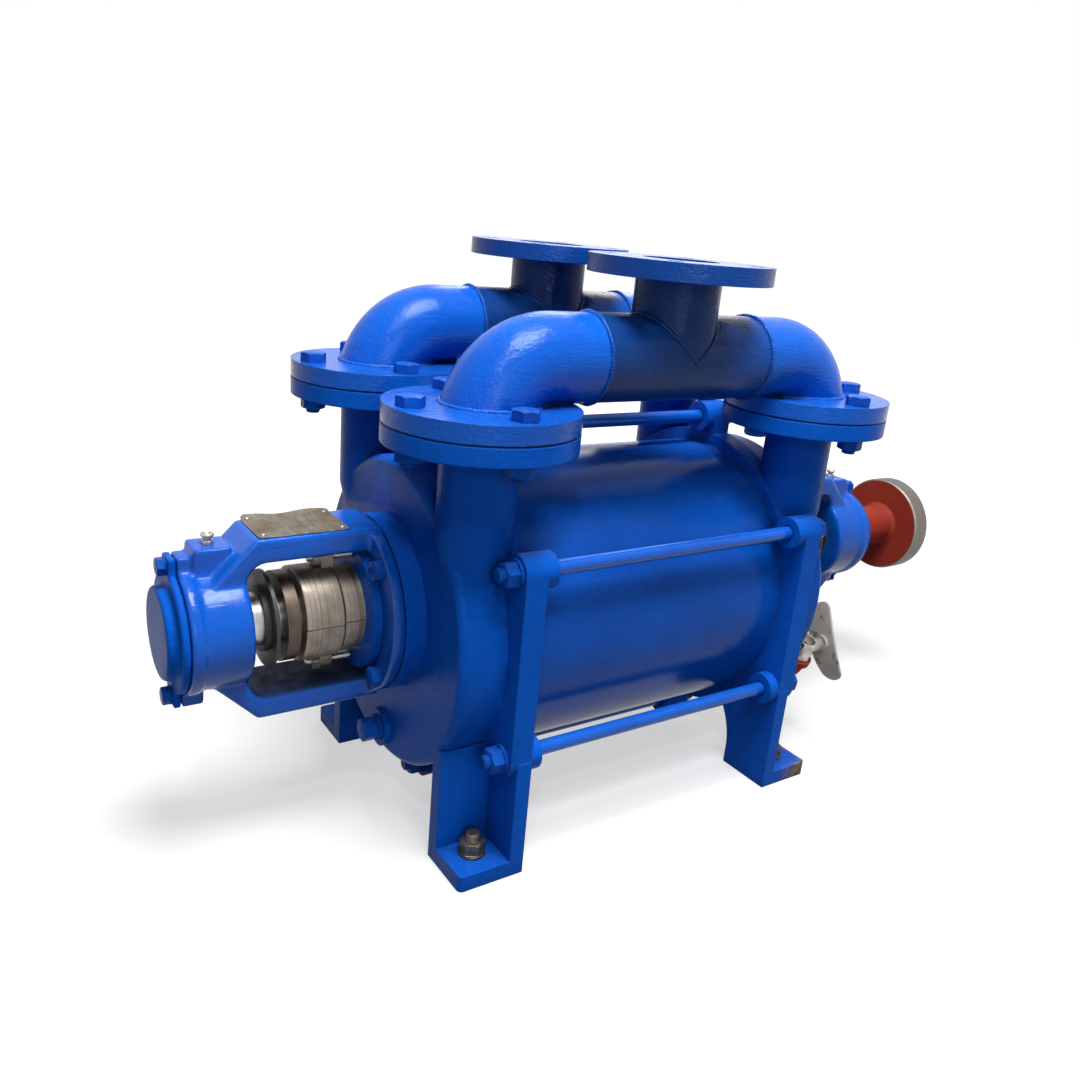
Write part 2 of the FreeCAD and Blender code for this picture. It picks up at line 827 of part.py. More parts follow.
def impeller():
    half = impeller_half_length
    pieces = [rod_x(impeller_hub_radius, -half, half, 0, shaft_height)]
    pieces.append(rod_x(impeller_web_radius, -impeller_web_thickness / 2, impeller_web_thickness / 2,
                        0, shaft_height))
    vane = Part.Face(vane_wire(-half)).extrude(x_axis * (2 * half))
    for index in range(vane_count):
        copy = vane.copy()
        copy.rotate(point(0, 0, shaft_height), x_axis, 360 * index / vane_count)
        pieces.append(copy)
    body = fused(pieces)
    bore = rod_x(shaft_core_radius + seat_clearance, -half, half, 0, shaft_height)
    return body.cut([bore, impeller_key_shape(seat_clearance)])


def key_shape(width, height, radius, start, end, gap):
    """A feather key on top of the shaft, with the given gap added all round for its slot."""
    bottom = shaft_height + radius - height * key_depth_share
    return block(start - gap, end + gap, -width / 2 - gap, width / 2 + gap, bottom - gap, bottom + height + gap)


def impeller_key_shape(gap):
    return key_shape(impeller_key_width, impeller_key_height, shaft_core_radius,
                     -impeller_key_half_length, impeller_key_half_length, gap)


def coupling_key_shape(gap):
    return key_shape(coupling_key_width, coupling_key_height, shaft_coupling_radius,
                     coupling_key_start, coupling_key_end, gap)


def shaft():
    seat_end = bearing_end + shaft_nut_thickness
    coupling_start = coupling_hub_start - collar_thickness / 2
    half = impeller_half_length
    profile = [
        (-blind_shaft_end, 0), (-blind_shaft_end, shaft_bearing_radius - shaft_chamfer),
        (-blind_shaft_end + shaft_chamfer, shaft_bearing_radius),
        (-bearing_start, shaft_bearing_radius), (-bearing_start, shaft_sleeve_seat_radius),
        (-half, shaft_sleeve_seat_radius), (-half, shaft_core_radius),
        (half, shaft_core_radius), (half, shaft_sleeve_seat_radius),
        (bearing_start, shaft_sleeve_seat_radius), (bearing_start, shaft_bearing_radius),
        (seat_end, shaft_bearing_radius), (seat_end, shaft_outer_radius),
        (coupling_start, shaft_outer_radius), (coupling_start, shaft_coupling_radius),
        (shaft_end - shaft_chamfer, shaft_coupling_radius), (shaft_end, shaft_coupling_radius - shaft_chamfer),
        (shaft_end, 0)]
    body = turned_profile(profile, 0, shaft_height)
    return body.cut([impeller_key_shape(seat_clearance), coupling_key_shape(seat_clearance)])


def shaft_sleeve():
    return ring_x(sleeve_radius, shaft_sleeve_seat_radius + seat_clearance,
                  impeller_half_length, sleeve_end, 0, shaft_height)


def sleeve_collar():
    """The dark collar that locks the sleeve to the shaft, with a lip over the sleeve's end."""
    outer = rod_x(collar_radius, collar_start, collar_start + collar_thickness, 0, shaft_height)
    outer = outer.cut(rod_x(sleeve_radius + seat_clearance, collar_start, sleeve_end, 0, shaft_height))
    return outer.cut(rod_x(shaft_sleeve_seat_radius + seat_clearance, sleeve_end,
                           collar_start + collar_thickness, 0, shaft_height))


def slinger():
    disc_end = slinger_start + slinger_thickness
    disc = rod_x(slinger_radius, slinger_start, disc_end, 0, shaft_height)
    hub = rod_x(slinger_hub_radius, slinger_start, slinger_start + slinger_hub_length, 0, shaft_height)
    bore = rod_x(shaft_sleeve_seat_radius + seat_clearance, slinger_start,
                 slinger_start + slinger_hub_length, 0, shaft_height)
    return fused([disc, hub]).cut(bore)


def shaft_nut():
    nut = ring_x(shaft_nut_radius, shaft_bearing_radius + running_clearance,
                 bearing_end, bearing_end + shaft_nut_thickness, 0, shaft_height)
    half = shaft_nut_notch_width / 2
    for index in range(shaft_nut_notches):
        notch = block(bearing_end, bearing_end + shaft_nut_thickness,
                      shaft_nut_radius - shaft_nut_notch_depth, shaft_nut_radius, -half, half)
        notch.rotate(origin, x_axis, 45 + 360 * index / shaft_nut_notches)
        notch.translate(point(0, 0, shaft_height))
        nut = nut.cut(notch)
    return nut


def coupling_half():
    """The flanged coupling half, with a radius where the hub meets the rim and a recess in the face."""
    bore = shaft_coupling_radius + seat_clearance
    corners = [
        (coupling_hub_start, bore), (coupling_hub_start, coupling_hub_radius - coupling_chamfer),
        (coupling_hub_start + coupling_chamfer, coupling_hub_radius),
        (coupling_rim_start - coupling_root_radius, coupling_hub_radius),
        (coupling_rim_start, coupling_hub_radius + coupling_root_radius),
        (coupling_rim_start, coupling_radius - coupling_chamfer),
        (coupling_rim_start + coupling_chamfer, coupling_radius),
        (coupling_face - coupling_chamfer, coupling_radius),
        (coupling_face, coupling_radius - coupling_chamfer),
        (coupling_face, coupling_recess_radius),
        (coupling_face - coupling_recess_depth, coupling_recess_radius),
        (coupling_face - coupling_recess_depth, bore)]
    body = turned_profile(corners, 0, shaft_height)
    cuts = [coupling_key_shape(seat_clearance)]
    for index in range(coupling_pin_count):
        y, z = on_circle(coupling_pin_circle / 2, 360 * index / coupling_pin_count, 0, shaft_height)
        cuts.append(rod_x(coupling_pin_hole_radius, coupling_face - coupling_pin_hole_depth,
                          coupling_face, y, z))
    return body.cut(cuts)


# Packing box


def packing_rings():
    inner = sleeve_radius + running_clearance
    outer = packing_bore_radius - seat_clearance
    rings = []
    for start, count in ((packing_start, packing_inner_rings), (outer_packing_start, packing_outer_rings)):
        for index in range(count):
            low = start + index * packing_ring_width
            rings.append(ring_x(outer, inner, low, low + packing_ring_width, 0, shaft_height))
    return Part.makeCompound(rings)


def lantern_ring():
    """A bronze ring of I section that spreads the sealing water between the packing rings."""
    inner = sleeve_radius + free_clearance
    outer = packing_bore_radius - seat_clearance
    middle = (inner + outer) / 2
    neck = lantern_neck / 2
    side = (lantern_width - lantern_neck * 2) / 2
    low = lantern_start
    high = lantern_start + lantern_width
    profile = [(low, inner), (low, outer), (low + side, outer), (low + side, middle + neck),
               (high - side, middle + neck), (high - side, outer), (high, outer), (high, inner),
               (high - side, inner), (high - side, middle - neck), (low + side, middle - neck),
               (low + side, inner)]
    return turned_profile(profile, 0, shaft_height)


def gland():
    """The gland follower, split across the shaft line into two halves, with an ear for each stud."""
    inner = sleeve_radius + free_clearance
    nose = packing_bore_radius - gland_nose_radial_gap
    profile = [(packing_end, inner), (packing_end, nose), (gland_body_start, nose),
               (gland_body_start, gland_body_radius), (gland_body_end - gland_chamfer, gland_body_radius),
               (gland_body_end, gland_body_radius - gland_chamfer), (gland_body_end, inner)]
    body = turned_profile(profile, 0, shaft_height)
    body = body.makeFillet(gland_rounding, circles_at(body, gland_body_start, gland_body_radius))
    ear_end = gland_body_start + gland_ear_thickness
    ears = []
    holes = []
    for offset in (-gland_stud_offset, gland_stud_offset):
        z = shaft_height + offset
        root = shaft_height + math.copysign(packing_bore_radius, offset)
        ears.append(rod_x(gland_ear_half_width, gland_body_start, ear_end, 0, z))
        ears.append(block(gland_body_start, ear_end, -gland_ear_half_width, gland_ear_half_width,
                          min(root, z), max(root, z)))
        holes.append(rod_x(gland_stud_radius + free_clearance, gland_body_start, ear_end, 0, z))
    body = fused([body] + ears).cut(holes)
    split = block(packing_end, gland_body_end, -bearing_boss_radius, bearing_boss_radius,
                  shaft_height - gland_split_gap / 2, shaft_height + gland_split_gap / 2)
    return body.cut(split)


def gland_studs():
    studs = []
    start = boss_face
    end = gland_body_start + gland_ear_thickness + gland_stud_nut_height + thread_stub
    for side in (blind_end, drive_end):
        for offset in (-gland_stud_offset, gland_stud_offset):
            stud = rod_x(gland_stud_radius, start, end, 0, shaft_height + offset)
            nut = hexagon(gland_stud_flats, gland_stud_nut_height,
                          point(gland_body_start + gland_ear_thickness, 0, shaft_height + offset), x_axis)
            studs.append(at_end(stud.fuse(nut), side))
    return Part.makeCompound(studs)


# Bearing brackets


def bracket_arm():
    """The upper arm in side view: straight along the shaft, then sloping down to the housing."""
    root = boss_face + free_clearance
    inner = shaft_height + arm_inner_offset
    outer = shaft_height + arm_outer_offset
    sink = shaft_height + housing_radius - arm_sink
    slope_end = arm_shoulder + (outer - sink)
    corner = housing_start - arm_window_radius
    bend = arm_window_radius * (1 - math.sqrt(0.5))
    edges = [
        Part.LineSegment(point(root, 0, inner), point(root, 0, outer)).toShape(),
        Part.LineSegment(point(root, 0, outer), point(arm_shoulder, 0, outer)).toShape(),
        Part.LineSegment(point(arm_shoulder, 0, outer), point(slope_end, 0, sink)).toShape(),
        Part.LineSegment(point(slope_end, 0, sink), point(housing_start, 0, sink)).toShape(),
        Part.Arc(point(housing_start, 0, sink),
                 point(housing_start - bend, 0, inner - bend * (inner - sink) / arm_window_radius),
                 point(corner, 0, inner)).toShape(),
        Part.LineSegment(point(corner, 0, inner), point(root, 0, inner)).toShape()]
    face = Part.Face(Part.Wire(edges))
    face.translate(point(0, -arm_half_width, 0))
    return face.extrude(y_axis * (2 * arm_half_width))


def bearing_bracket():
    flange = rod_x(bracket_flange_radius, boss_face, bracket_face, 0, shaft_height)
    housing = rod_x(housing_radius, housing_start, housing_end, 0, shaft_height)
    rim = rod_x(housing_rim_radius, housing_rim_start, housing_end, 0, shaft_height)
    upper = bracket_arm()
    lower = upper.mirror(point(0, 0, shaft_height), z_axis)
    ear = block(housing_ear_start, housing_end, -ear_half_width, ear_half_width,
                shaft_height - ear_offset, shaft_height + ear_offset)
    lug = block(lug_start, lug_end, -lug_half_width, lug_half_width,
                shaft_height + bearing_outer_radius, shaft_height + lug_offset)
    body = fused([flange, housing, rim, upper, lower, ear, lug])
    spigot = stuffing_radius + plate_clearance
    cuts = [rod_x(spigot, boss_face, bracket_face, 0, shaft_height)]
    cuts.append(rod_x(bearing_outer_radius + seat_clearance, bearing_start, housing_end, 0, shaft_height))
    cuts.append(rod_x(seal_radius + seat_clearance, housing_start, bearing_start, 0, shaft_height))
    for y, z in bracket_bolt_places():
        cuts.append(rod_x(bracket_bolt_radius + free_clearance, boss_face, bracket_face, y, z))
    for offset in (-cap_bolt_offset, cap_bolt_offset):
        cuts.append(rod_x(cap_bolt_radius + running_clearance, housing_end - cap_bolt_length + cap_flange_thickness,
                          housing_end, 0, shaft_height + offset))
    cuts.append(rod_z(nipple_stem_radius + running_clearance, (lug_start + lug_end) / 2, 0,
                      shaft_height + bearing_outer_radius, shaft_height + lug_offset))
    return body.cut(cuts)


def bracket_bolts():
    bolts = []
    for end in (blind_end, drive_end):
        for y, z in bracket_bolt_places():
            shank = rod_x(bracket_bolt_radius, boss_face - bracket_bolt_depth, bracket_face, y, z)
            head = hexagon(bracket_bolt_flats, bracket_bolt_head, point(bracket_face, y, z), x_axis)
            bolts.append(at_end(shank.fuse(head), end))
    return Part.makeCompound(bolts)


def bearing_seal():
    end = seal_start + seal_width
    lip = shaft_sleeve_seat_radius + running_clearance
    third = seal_width / 3
    profile = [(seal_start, lip), (seal_start, seal_radius), (end, seal_radius), (end, lip),
               (end - third, lip), (end - third, seal_groove_radius),
               (seal_start + third, seal_groove_radius), (seal_start + third, lip)]
    return turned_profile(profile, 0, shaft_height)


def ball_groove():
    groove = ball_radius + running_clearance
    return Part.makeTorus(bearing_pitch_radius, groove, point(bearing_middle, 0, shaft_height), x_axis)


def ball_outer_race():
    inner = bearing_pitch_radius + ball_shoulder
    ring = ring_x(bearing_outer_radius, inner, bearing_start, bearing_end, 0, shaft_height)
    return ring.cut(ball_groove())


def ball_inner_race():
    outer = bearing_pitch_radius - ball_shoulder
    ring = ring_x(outer, shaft_bearing_radius + seat_clearance, bearing_start, bearing_end, 0, shaft_height)
    return ring.cut(ball_groove())


def ball_places():
    return [on_circle(bearing_pitch_radius, 360 * index / ball_count, 0, shaft_height)
            for index in range(ball_count)]


def bearing_balls():
    return Part.makeCompound([Part.makeSphere(ball_radius, point(bearing_middle, y, z))
                              for y, z in ball_places()])


def ball_cage():
    half = ball_cage_width / 2
    band = ring_x(bearing_pitch_radius + cage_half_band, bearing_pitch_radius - cage_half_band,
                  bearing_middle - half, bearing_middle + half, 0, shaft_height)
    pocket = ball_radius + running_clearance * 2
    return band.cut([rod_pocket(y, z, pocket) for y, z in ball_places()])


def rod_pocket(y, z, radius):
    """A round hole that runs out from the shaft through one place of a cage."""
    outward = point(0, y, z - shaft_height).normalize()
    inner = bearing_pitch_radius - ball_shoulder
    base = point(bearing_middle, 0, shaft_height) + outward * inner
    return Part.makeCylinder(radius, ball_shoulder * 2, base, outward)


def roller_outer_race():
    inner = bearing_pitch_radius + roller_radius + running_clearance
    half = roller_length / 2 + running_clearance * 2
    lip = inner - roller_lip
    profile = [(bearing_start, bearing_outer_radius), (bearing_end, bearing_outer_radius), (bearing_end, lip),
               (bearing_middle + half, lip), (bearing_middle + half, inner), (bearing_middle - half, inner),
               (bearing_middle - half, lip), (bearing_start, lip)]
    return turned_profile(profile, 0, shaft_height)


def roller_inner_race():
    outer = bearing_pitch_radius - roller_radius - running_clearance
    return ring_x(outer, shaft_bearing_radius + seat_clearance, bearing_start, bearing_end, 0, shaft_height)


def roller_places():
    return [on_circle(bearing_pitch_radius, 360 * index / roller_count, 0, shaft_height)
            for index in range(roller_count)]


def bearing_rollers():
    half = roller_length / 2
    return Part.makeCompound([rod_x(roller_radius, bearing_middle - half, bearing_middle + half, y, z)
                              for y, z in roller_places()])


def roller_cage():
    half = roller_cage_width / 2
    pocket_half = roller_length / 2 + running_clearance * 3
    band = ring_x(bearing_pitch_radius + cage_half_band, bearing_pitch_radius - cage_half_band,
                  bearing_middle - half, bearing_middle + half, 0, shaft_height)
    pockets = [rod_x(roller_radius + running_clearance * 2, bearing_middle - pocket_half,
                     bearing_middle + pocket_half, y, z) for y, z in roller_places()]
    return band.cut(pockets)


def bearing_cap(with_hole):
    """The outer cap: a spigot against the bearing, a flange with two ears, and a raised disc."""
    spigot_radius = bearing_outer_radius - seat_clearance
    flange_end = housing_end + cap_flange_thickness
    spigot = rod_x(spigot_radius, bearing_end, housing_end, 0, shaft_height)
    flange = rod_x(cap_flange_radius, housing_end, flange_end, 0, shaft_height)
    ears = block(housing_end, flange_end, -ear_half_width, ear_half_width,
                 shaft_height - ear_offset, shaft_height + ear_offset)
    disc = rod_x(cap_disc_radius, flange_end, cap_face, 0, shaft_height)
    disc = disc.makeChamfer(cap_edge_chamfer, circles_at(disc, cap_face, cap_disc_radius))
    cuts = [rod_x(cap_cavity_radius, bearing_end, cap_face - cap_wall, 0, shaft_height)]
    if with_hole:
        cuts.append(rod_x(shaft_outer_radius + free_clearance, bearing_end, cap_face, 0, shaft_height))
    for offset in (-cap_bolt_offset, cap_bolt_offset):
        cuts.append(rod_x(cap_bolt_radius + free_clearance, housing_end, flange_end, 0, shaft_height + offset))
    return fused([spigot, flange, ears, disc]).cut(cuts)


def cap_bolts():
    bolts = []
    flange_end = housing_end + cap_flange_thickness
    for end in (blind_end, drive_end):
        for offset in (-cap_bolt_offset, cap_bolt_offset):
            z = shaft_height + offset
            shank = rod_x(cap_bolt_radius, flange_end - cap_bolt_length + free_clearance, flange_end, 0, z)
            head = hexagon(cap_bolt_flats, cap_bolt_head, point(flange_end, 0, z), x_axis)
            bolts.append(at_end(shank.fuse(head), end))
    return Part.makeCompound(bolts)


def grease_nipples():
    x = (lug_start + lug_end) / 2
    top = shaft_height + lug_offset
    hexagon_top = top + nipple_hex_height
    nipples = []
    for end in (blind_end, drive_end):
        stem = rod_z(nipple_stem_radius, x, 0, top - nipple_height, top)
        nut = hexagon(nipple_hex_flats, nipple_hex_height, point(x, 0, top), z_axis)
        neck = rod_z(nipple_stem_radius, x, 0, hexagon_top, top + nipple_height - nipple_head_radius)
        head = Part.makeSphere(nipple_head_radius, point(x, 0, top + nipple_height - nipple_head_radius))
        nipples.append(at_end(fused([stem, nut, neck, head]), end))
    return Part.makeCompound(nipples)


# Drains


def drain_plug():
    height = casing_height - plug_drop
    face = drum_face + drain_boss_length
    stem = rod_x(drain_hole_radius - running_clearance, chamber_end, face, 0, height)
    collar = rod_x(plug_collar_radius, face, face + plug_collar_length, 0, height)
    head = hexagon(plug_flats, plug_head_length, point(face + plug_collar_length, 0, height), x_axis)
    return at_end(fused([stem, collar, head]), blind_end)


def side_outlet_direction():
    tilt = math.radians(side_outlet_tilt)
    return point(0, -math.sin(tilt), math.cos(tilt))


def elbow_inlet_face():
    return drum_face + drain_boss_length + elbow_gap


def elbow_corner():
    """Where the inlet line and the outlet line of the small elbow meet."""
    return point(elbow_inlet_face() + elbow_straight + elbow_bend_radius, side_drain_y, side_drain_z)


def elbow_run(radius):
    """The bent passage of the small elbow for one radius, made of two straights and a quarter bend."""
    corner = elbow_corner()
    outlet = side_outlet_direction()
    bend_start = corner - x_axis * elbow_bend_radius
    bend_end = corner + outlet * elbow_bend_radius
    centre = bend_start + outlet * elbow_bend_radius
    inlet = Part.makeCylinder(radius, elbow_straight, bend_start - x_axis * elbow_straight, x_axis)
    circle = Part.Face(Part.Wire(Part.Circle(bend_start, x_axis, radius).toShape()))
    bend = circle.revolve(centre, outlet.cross(x_axis), -90)
    outgoing = Part.makeCylinder(radius, elbow_straight, bend_end, outlet)
    return fused([inlet, bend, outgoing])


def drain_elbow():
    outlet = side_outlet_direction()
    outlet_face = elbow_corner() + outlet * (elbow_bend_radius + elbow_straight)
    inlet_collar = rod_x(elbow_collar_radius, elbow_inlet_face(), elbow_inlet_face() + elbow_collar_length,
                         side_drain_y, side_drain_z)
    outlet_collar = Part.makeCylinder(elbow_collar_radius, elbow_collar_length,
                                      outlet_face - outlet * elbow_collar_length, outlet)
    body = fused([elbow_run(elbow_body_radius), inlet_collar, outlet_collar])
    return body.cut(elbow_run(nipple_pipe_radius + running_clearance))


def pipe_nipple(start, axis, length):
    outer = Part.makeCylinder(nipple_pipe_radius - nipple_pipe_wall, length, start, axis)
    return Part.makeCylinder(nipple_pipe_radius, length, start, axis).cut(outer)


def drain_nipples():
    """The short threaded pipes: one from the cover into the elbow, one from the elbow into the valve."""
    outlet = side_outlet_direction()
    boss_end = drum_face + drain_boss_length
    screwed = elbow_straight - running_clearance
    lower = Part.makeCylinder(drain_hole_radius - running_clearance, drain_boss_length + elbow_gap,
                              point(drum_face, side_drain_y, side_drain_z), x_axis)
    lower = lower.fuse(Part.makeCylinder(drain_hole_radius - running_clearance, screwed,
                                         point(boss_end + elbow_gap, side_drain_y, side_drain_z), x_axis))
    bore = drain_hole_radius - nipple_pipe_wall
    lower = lower.cut(rod_x(bore, drum_face, boss_end + elbow_gap + elbow_straight, side_drain_y, side_drain_z))
    start = elbow_corner() + outlet * (elbow_bend_radius + running_clearance)
    upper = pipe_nipple(start, outlet, elbow_straight + valve_gap + valve_hex_length - running_clearance)
    return Part.makeCompound([lower.removeSplitter(), upper])


def valve_start():
    return elbow_corner() + side_outlet_direction() * (elbow_bend_radius + elbow_straight + valve_gap)


def valve_centre():
    return valve_start() + side_outlet_direction() * (valve_length / 2)


def valve_body():
    """The valve: a barrel between two hexagon ends, and the boss that carries the stem."""
    outlet = side_outlet_direction()
    centre = valve_centre()
    start = valve_start()
    far_start = start + outlet * (valve_length - valve_hex_length)
    barrel_length = valve_length - 2 * valve_hex_length
    barrel = Part.makeCylinder(valve_body_radius, barrel_length, start + outlet * valve_hex_length, outlet)
    near_hex = hexagon(valve_hex_flats, valve_hex_length, start, outlet)
    far_hex = hexagon(valve_hex_flats, valve_hex_length, far_start, outlet)
    bonnet = Part.makeCylinder(valve_bonnet_radius, valve_bonnet_height, centre, x_axis)
    body = fused([barrel, near_hex, far_hex, bonnet])
    socket = nipple_pipe_radius + running_clearance
    passage = Part.makeCylinder(valve_port_radius, valve_length, start, outlet)
    passage = passage.fuse([Part.makeCylinder(socket, valve_hex_length, start, outlet),
                            Part.makeCylinder(socket, valve_hex_length, far_start, outlet),
                            Part.makeSphere(valve_cavity_radius, centre, outlet)])
    stem_hole = Part.makeCylinder(valve_stem_radius + running_clearance, valve_bonnet_height, centre, x_axis)
    return body.cut(passage).cut(stem_hole)


def handle_direction():
    tilt = math.radians(handle_tilt)
    return point(0, -math.sin(tilt), math.cos(tilt))


def valve_ball():
    """The ball with its through bore, and the stem that turns it. The bore runs along the handle."""
    along = handle_direction()
    ball = Part.makeSphere(valve_ball_radius, valve_centre(), along)
    stem = Part.makeCylinder(valve_stem_radius, valve_stem_height, valve_centre(), x_axis)
    bore = Part.makeCylinder(valve_port_radius, valve_ball_radius * 2,
                             valve_centre() - along * valve_ball_radius, along)
    return ball.fuse(stem).cut(bore)


def wing_handle():
    """A pressed wing handle: a broad leaf-shaped plate, bowed away from the valve, on a round hub."""
    step = x_axis * handle_thickness
    middle = point(handle_base, 0, 0)
    top = point(handle_base + handle_rise, 0, handle_half_span)
    bottom = point(handle_base + handle_rise, 0, -handle_half_span)
    section = Part.Wire([Part.Arc(bottom, middle, top).toShape(),
                         Part.LineSegment(top, top + step).toShape(),
                         Part.Arc(top + step, middle + step, bottom + step).toShape(),
                         Part.LineSegment(bottom + step, bottom).toShape()])
    sheet = Part.Face(section)
    sheet.translate(y_axis * -handle_half_width)
    sheet = sheet.extrude(y_axis * (2 * handle_half_width))
    hub = rod_x(handle_hub_radius, handle_base - handle_hub_length,
                handle_base + handle_thickness + handle_seat, 0, 0)
    body = fused([sheet.common(handle_plan()), hub])
    body = body.cut(rod_x(valve_stem_radius + seat_clearance, 0, 2 * handle_base, 0, 0))
    body.rotate(origin, x_axis, handle_tilt)
    body.translate(valve_centre())
    return body


def handle_plan():
    """The leaf shape of the handle seen along the stem: bowed sides and rounded ends."""
    side_end = handle_half_span - handle_end_rounding
    corners = [point(0, side * handle_end_width, end * side_end) for side, end in
               ((1, -1), (1, 1), (-1, 1), (-1, -1))]
    sides = [Part.Arc(corners[0], point(0, handle_half_width, 0), corners[1]).toShape(),
             Part.Arc(corners[1], point(0, 0, handle_half_span), corners[2]).toShape(),
             Part.Arc(corners[2], point(0, -handle_half_width, 0), corners[3]).toShape(),
             Part.Arc(corners[3], point(0, 0, -handle_half_span), corners[0]).toShape()]
    return Part.Face(Part.Wire(sides)).extrude(x_axis * (2 * handle_base))


def handle_nut():
    base = valve_centre() + x_axis * (handle_base + handle_thickness + handle_seat)
    nut = hexagon(valve_nut_flats, valve_nut_height, base, x_axis)
    return nut.cut(Part.makeCylinder(valve_stem_radius + seat_clearance, valve_nut_height, base, x_axis))


save("casing_barrel", casing_barrel())
save("nde_end_cover", at_end(blind_end_cover(), blind_end))
save("de_end_cover", drive_end_cover())
save_both_ends("casing_gasket", casing_gasket)
save_both_ends("port_plate", port_plate)
save_both_ends("valve_flap", valve_flap)
save("tie_rods", tie_rods())
save("tie_rod_washers", tie_rod_washers())
save("tie_rod_nuts", tie_rod_nuts())
save("suction_manifold", manifold(-1))
save("discharge_manifold", manifold(1))
save("manifold_gaskets", manifold_gaskets())
save("flange_bolts", flange_bolts())
save("flange_nuts", flange_nuts())
save("flange_screws", flange_screws())
save("impeller", impeller())
save("impeller_key", impeller_key_shape(0))
save("shaft", shaft())
save("coupling_key", coupling_key_shape(0))
save("coupling_half", coupling_half())
save_both_ends("shaft_sleeve", shaft_sleeve)
save("sleeve_collars", both_ends(sleeve_collar()))
save_both_ends("slinger", slinger)
save("shaft_nuts", both_ends(shaft_nut()))
save_both_ends("packing_rings", packing_rings)
save_both_ends("lantern_ring", lantern_ring)
save_both_ends("gland", gland)
save("gland_studs", gland_studs())
save_both_ends("bearing_bracket", bearing_bracket)
save("bracket_bolts", bracket_bolts())
save_both_ends("bearing_seal", bearing_seal)
save("nde_bearing_outer_race", at_end(ball_outer_race(), blind_end))
save("nde_bearing_inner_race", at_end(ball_inner_race(), blind_end))
save("nde_bearing_balls", at_end(bearing_balls(), blind_end))
save("nde_bearing_cage", at_end(ball_cage(), blind_end))
save("de_bearing_outer_race", roller_outer_race())
save("de_bearing_inner_race", roller_inner_race())
save("de_bearing_rollers", bearing_rollers())
save("de_bearing_cage", roller_cage())
save("nde_bearing_cap", at_end(bearing_cap(False), blind_end))
save("de_bearing_cap", bearing_cap(True))
save("cap_bolts", cap_bolts())
save("grease_nipples", grease_nipples())
save("drain_plug", drain_plug())
save("drain_nipples", drain_nipples())
save("drain_elbow", drain_elbow())
save("valve_body", valve_body())
save("valve_ball", valve_ball())
save("wing_handle", wing_handle())
save("handle_nut", handle_nut())
print("nodes:", len(os.listdir("parts")))
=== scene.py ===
import bmesh
import bpy
import json
import math
from mathutils import Matrix, Vector

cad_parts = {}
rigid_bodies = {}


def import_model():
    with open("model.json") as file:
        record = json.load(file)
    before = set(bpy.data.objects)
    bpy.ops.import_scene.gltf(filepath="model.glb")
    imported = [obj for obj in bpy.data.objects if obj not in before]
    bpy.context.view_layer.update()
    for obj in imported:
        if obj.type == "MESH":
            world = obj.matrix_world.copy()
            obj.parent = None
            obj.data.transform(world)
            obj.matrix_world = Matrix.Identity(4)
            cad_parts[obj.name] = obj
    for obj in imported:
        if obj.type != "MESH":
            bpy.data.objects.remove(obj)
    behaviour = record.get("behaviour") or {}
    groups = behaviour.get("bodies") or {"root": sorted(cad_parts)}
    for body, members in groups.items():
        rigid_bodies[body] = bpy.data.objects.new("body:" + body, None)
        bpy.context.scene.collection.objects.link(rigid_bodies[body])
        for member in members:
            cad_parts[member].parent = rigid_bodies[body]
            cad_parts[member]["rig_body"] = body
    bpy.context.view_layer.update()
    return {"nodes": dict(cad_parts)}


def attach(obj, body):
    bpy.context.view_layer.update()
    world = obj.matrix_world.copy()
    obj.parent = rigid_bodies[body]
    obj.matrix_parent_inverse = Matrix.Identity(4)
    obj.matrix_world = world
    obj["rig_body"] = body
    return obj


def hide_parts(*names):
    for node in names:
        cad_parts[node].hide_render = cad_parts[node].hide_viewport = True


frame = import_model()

nodes = frame["nodes"]
mm = 0.001
shaftHeight = 250           # millimetres above the floor
flangeCentres = (222, 120)  # of the four necks, from the middle
scene = bpy.context.scene


def at(x, y, z):
    return Vector((x, y, z)) * mm


def addObject(name, data):
    item = bpy.data.objects.new(name, data)
    scene.collection.objects.link(item)
    return item


# Camera, at the photograph's viewing angle
cameraSetup = {
    "place": (-673.67, -881.75, 657.5),  # millimetres
    "heading": 34.86,                    # degrees from +Y towards +X
    "down": 18.63,
    "roll": 5.19,
    "lens": 31.72,
}


def makeCamera(setup):
    heading, down, roll = (math.radians(setup[k]) for k in ("heading", "down", "roll"))
    level = math.cos(down)
    forward = Vector((math.sin(heading) * level, math.cos(heading) * level, -math.sin(down)))
    right = Vector((math.cos(heading), -math.sin(heading), 0))
    up = right.cross(forward)
    rightTurned = right * math.cos(roll) + up * math.sin(roll)
    upTurned = up * math.cos(roll) - right * math.sin(roll)
    data = bpy.data.cameras.new("photoCamera")
    data.lens = setup["lens"]
    data.sensor_width = 36
    data.clip_end = 50
    camera = addObject("photoCamera", data)
    turn = Matrix((rightTurned, upTurned, -forward)).transposed()
    camera.matrix_world = Matrix.Translation(at(*setup["place"])) @ turn.to_4x4()
    scene.camera = camera


makeCamera(cameraSetup)
print("camera ready")


# Node helpers, for shaders and for shapes

def fill(tree, node, values):
    # sets inputs to numbers or links them, by name or by place in the list
    for key, value in values.items():
        if isinstance(value, bpy.types.NodeSocket):
            tree.links.new(value, node.inputs[key])
        else:
            node.inputs[key].default_value = value


def addNode(tree, kind, values=None, **options):
    node = tree.nodes.new(kind)
    for option, choice in options.items():
        setattr(node, option, choice)
    fill(tree, node, values or {})
    return node


def mathNode(tree, operation, *values, clamp=False):
    given = dict(enumerate(values))
    return addNode(tree, "ShaderNodeMath", given, operation=operation, use_clamp=clamp).outputs[0]


def times(tree, first, second, clamp=False):
    return mathNode(tree, "MULTIPLY", first, second, clamp=clamp)


